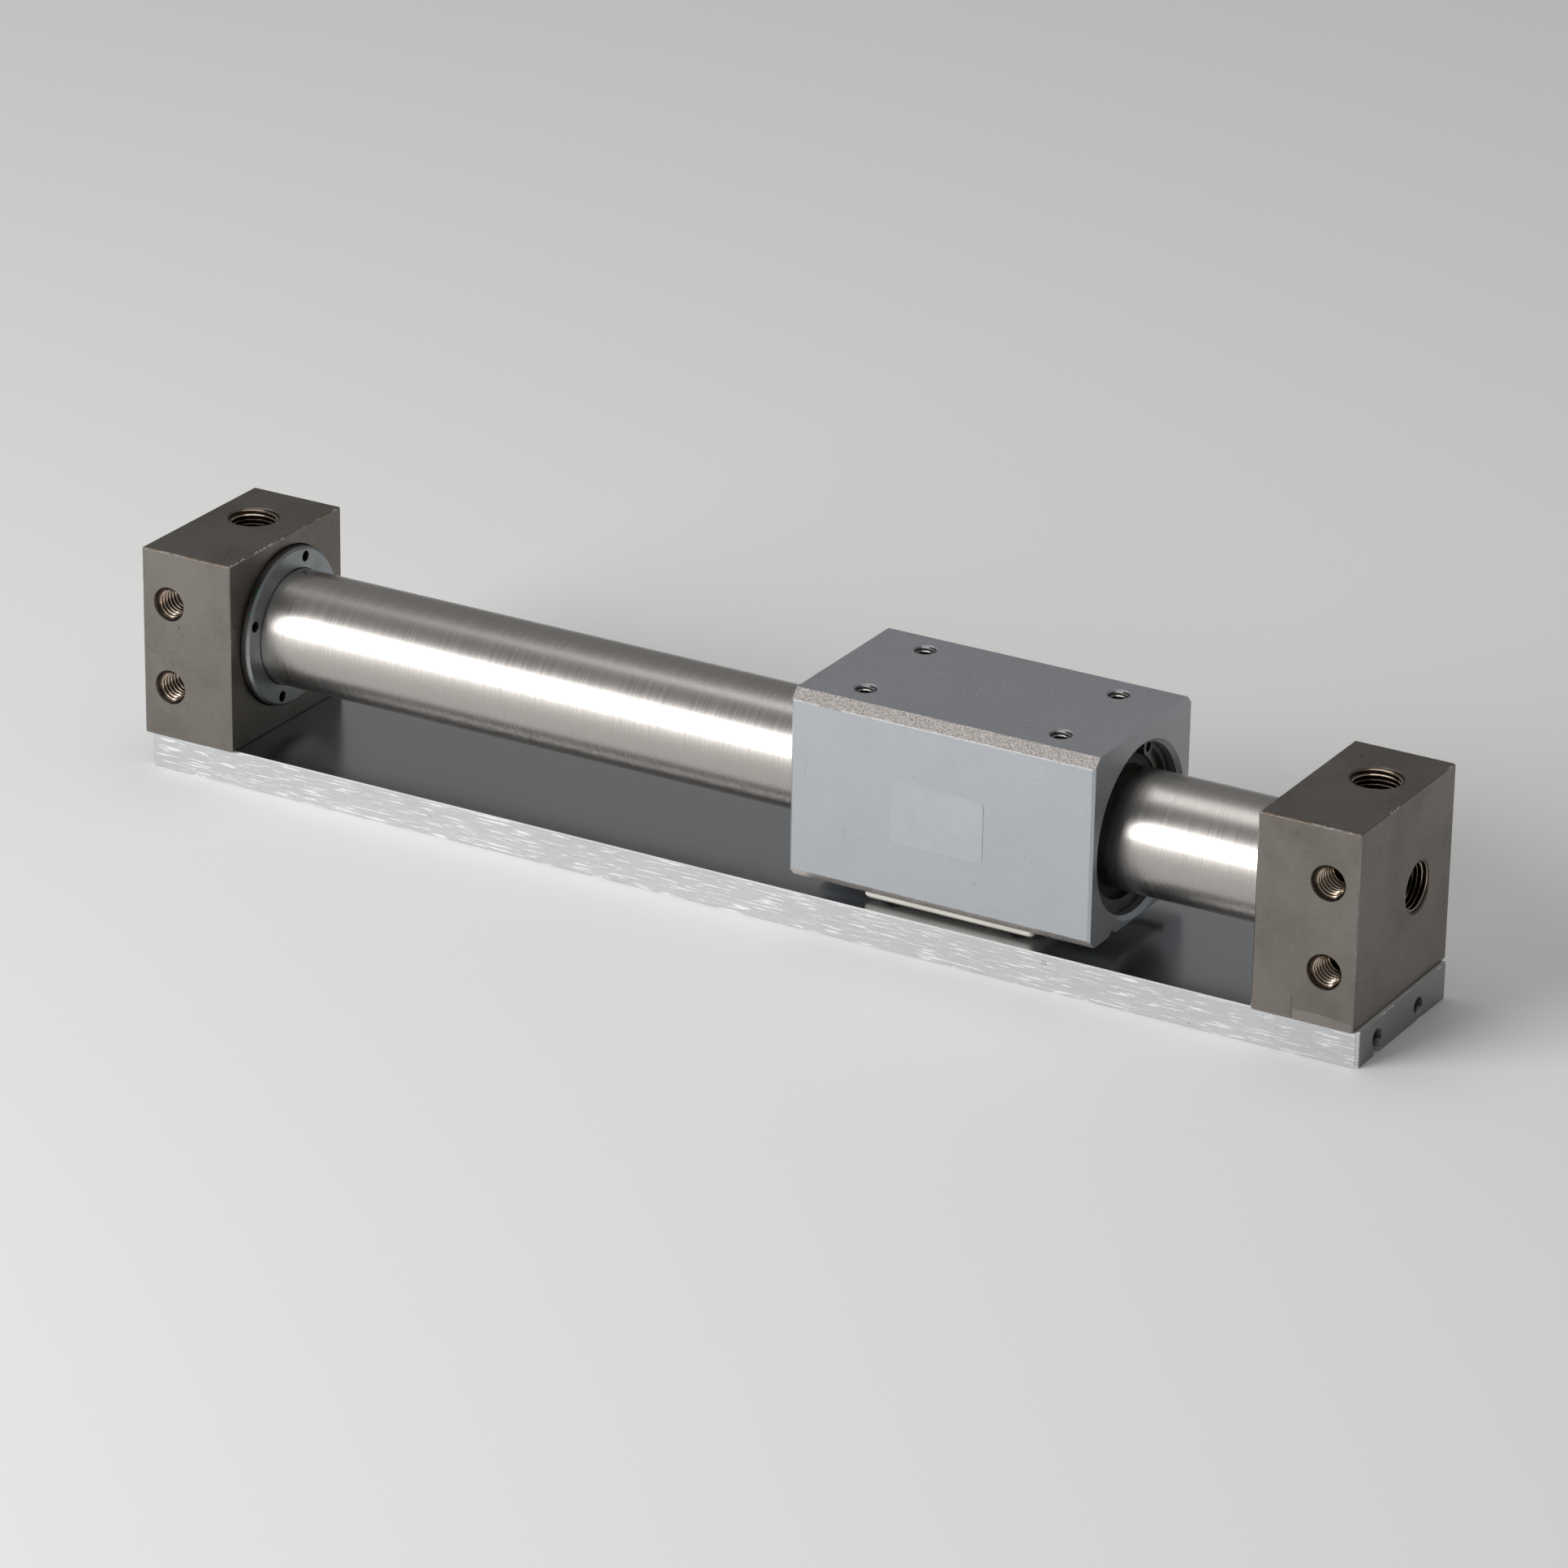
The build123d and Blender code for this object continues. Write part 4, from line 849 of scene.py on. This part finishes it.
def makeFilm():
    f = film
    outline = []
    corners = ((1, 1), (-1, 1), (-1, -1), (1, -1))  # right top, left top, left bottom, right bottom
    for quarter, (sideX, sideZ) in enumerate(corners):
        middleX = (f["right"] - f["corner"]) if sideX > 0 else (f["left"] + f["corner"])
        middleZ = (f["top"] - f["corner"]) if sideZ > 0 else (f["bottom"] + f["corner"])
        for step in range(f["cornerSteps"] + 1):
            angle = radians(90 * (quarter + step / f["cornerSteps"]))
            x = middleX + f["corner"] * cos(angle)
            z = middleZ + f["corner"] * sin(angle)
            outline.append((x, z))
    count = len(outline)
    depths = (f["front"], f["front"] - f["thickness"])  # the back's points come first, then the front's
    points = [Vector((x, depth, z)) * mm for depth in depths for x, z in outline]
    faces = [tuple(reversed(range(count))), tuple(range(count, 2 * count))]
    for index in range(count):
        after = (index + 1) % count
        faces.append((count + index, index, after, count + after))
    mesh = bpy.data.meshes.new("slider_label_film")
    mesh.from_pydata(points, [], faces)
    mesh.materials.append(makeFilmMaterial())
    return mesh


addPiece("slider_label_film", makeFilm(), "slider")
print("slider: bare label film")


# Floor, light and camera

studio = {
    "floorSize": 24.0, "floorZ": -0.00005, "floorColour": (0.86, 0.86, 0.85, 1), "worldGrey": 0.23,
    "softboxes": {  # name: direction, distance, width, height, watts
        "frontLeft": ((-0.46, -0.78, 0.36), 1.3, 1.0, 0.55, 16.5),
        "overhead": ((-0.1, 0.1, 1.0), 1.6, 1.1, 1.1, 6.0),
    },
}
view = {
    "lens": 163.64, "sensor": 36, "aim": (0.00194, 0.0, 0.01899), "distance": 1.31703,
    "azimuth": 29.931, "elevation": 23.087, "roll": 0.938,
}


def addFloor():
    half = studio["floorSize"] / 2
    corners = [(x * half, y * half, studio["floorZ"]) for x, y in ((-1, -1), (1, -1), (1, 1), (-1, 1))]
    mesh = bpy.data.meshes.new("floor")
    mesh.from_pydata(corners, [], [(0, 1, 2, 3)])
    material, tree, shader, place, normal = newMaterial("paleFloor", 0.0, 0.9)
    shader["Base Color"].default_value = studio["floorColour"]
    mesh.materials.append(material)
    floor = bpy.data.objects.new("floor", mesh)
    bpy.context.scene.collection.objects.link(floor)


def addLights():
    for name, (direction, distance, width, height, watts) in studio["softboxes"].items():
        light = bpy.data.lights.new(name, "AREA")
        light.shape = "RECTANGLE"
        light.size, light.size_y, light.energy = width, height, watts
        lamp = bpy.data.objects.new(name, light)
        outward = Vector(direction).normalized()
        lamp.location = outward * distance
        lamp.rotation_euler = (-outward).to_track_quat("-Z", "Y").to_euler()
        bpy.context.scene.collection.objects.link(lamp)
    world = bpy.data.worlds.new("studio")
    world.use_nodes = True
    world.node_tree.nodes["Background"].inputs[0].default_value = (studio["worldGrey"],) * 3 + (1,)
    bpy.context.scene.world = world


def addCamera():
    data = bpy.data.cameras.new("camera")
    data.lens, data.sensor_width = view["lens"], view["sensor"]
    data.clip_start, data.clip_end = 0.05, 60
    camera = bpy.data.objects.new("camera", data)
    azimuth, elevation = radians(view["azimuth"]), radians(view["elevation"])
    back = Vector((sin(azimuth) * cos(elevation), -cos(azimuth) * cos(elevation), sin(elevation)))
    camera.location = Vector(view["aim"]) + back * view["distance"]
    camera.rotation_mode = "QUATERNION"
    roll = Quaternion((0, 0, 1), radians(view["roll"]))
    camera.rotation_quaternion = (-back).to_track_quat("-Z", "Y") @ roll
    bpy.context.scene.collection.objects.link(camera)
    bpy.context.scene.camera = camera


addFloor()
addLights()
addCamera()
bpy.context.scene.view_settings.view_transform = "Standard"
print("studio: floor, lights and camera")
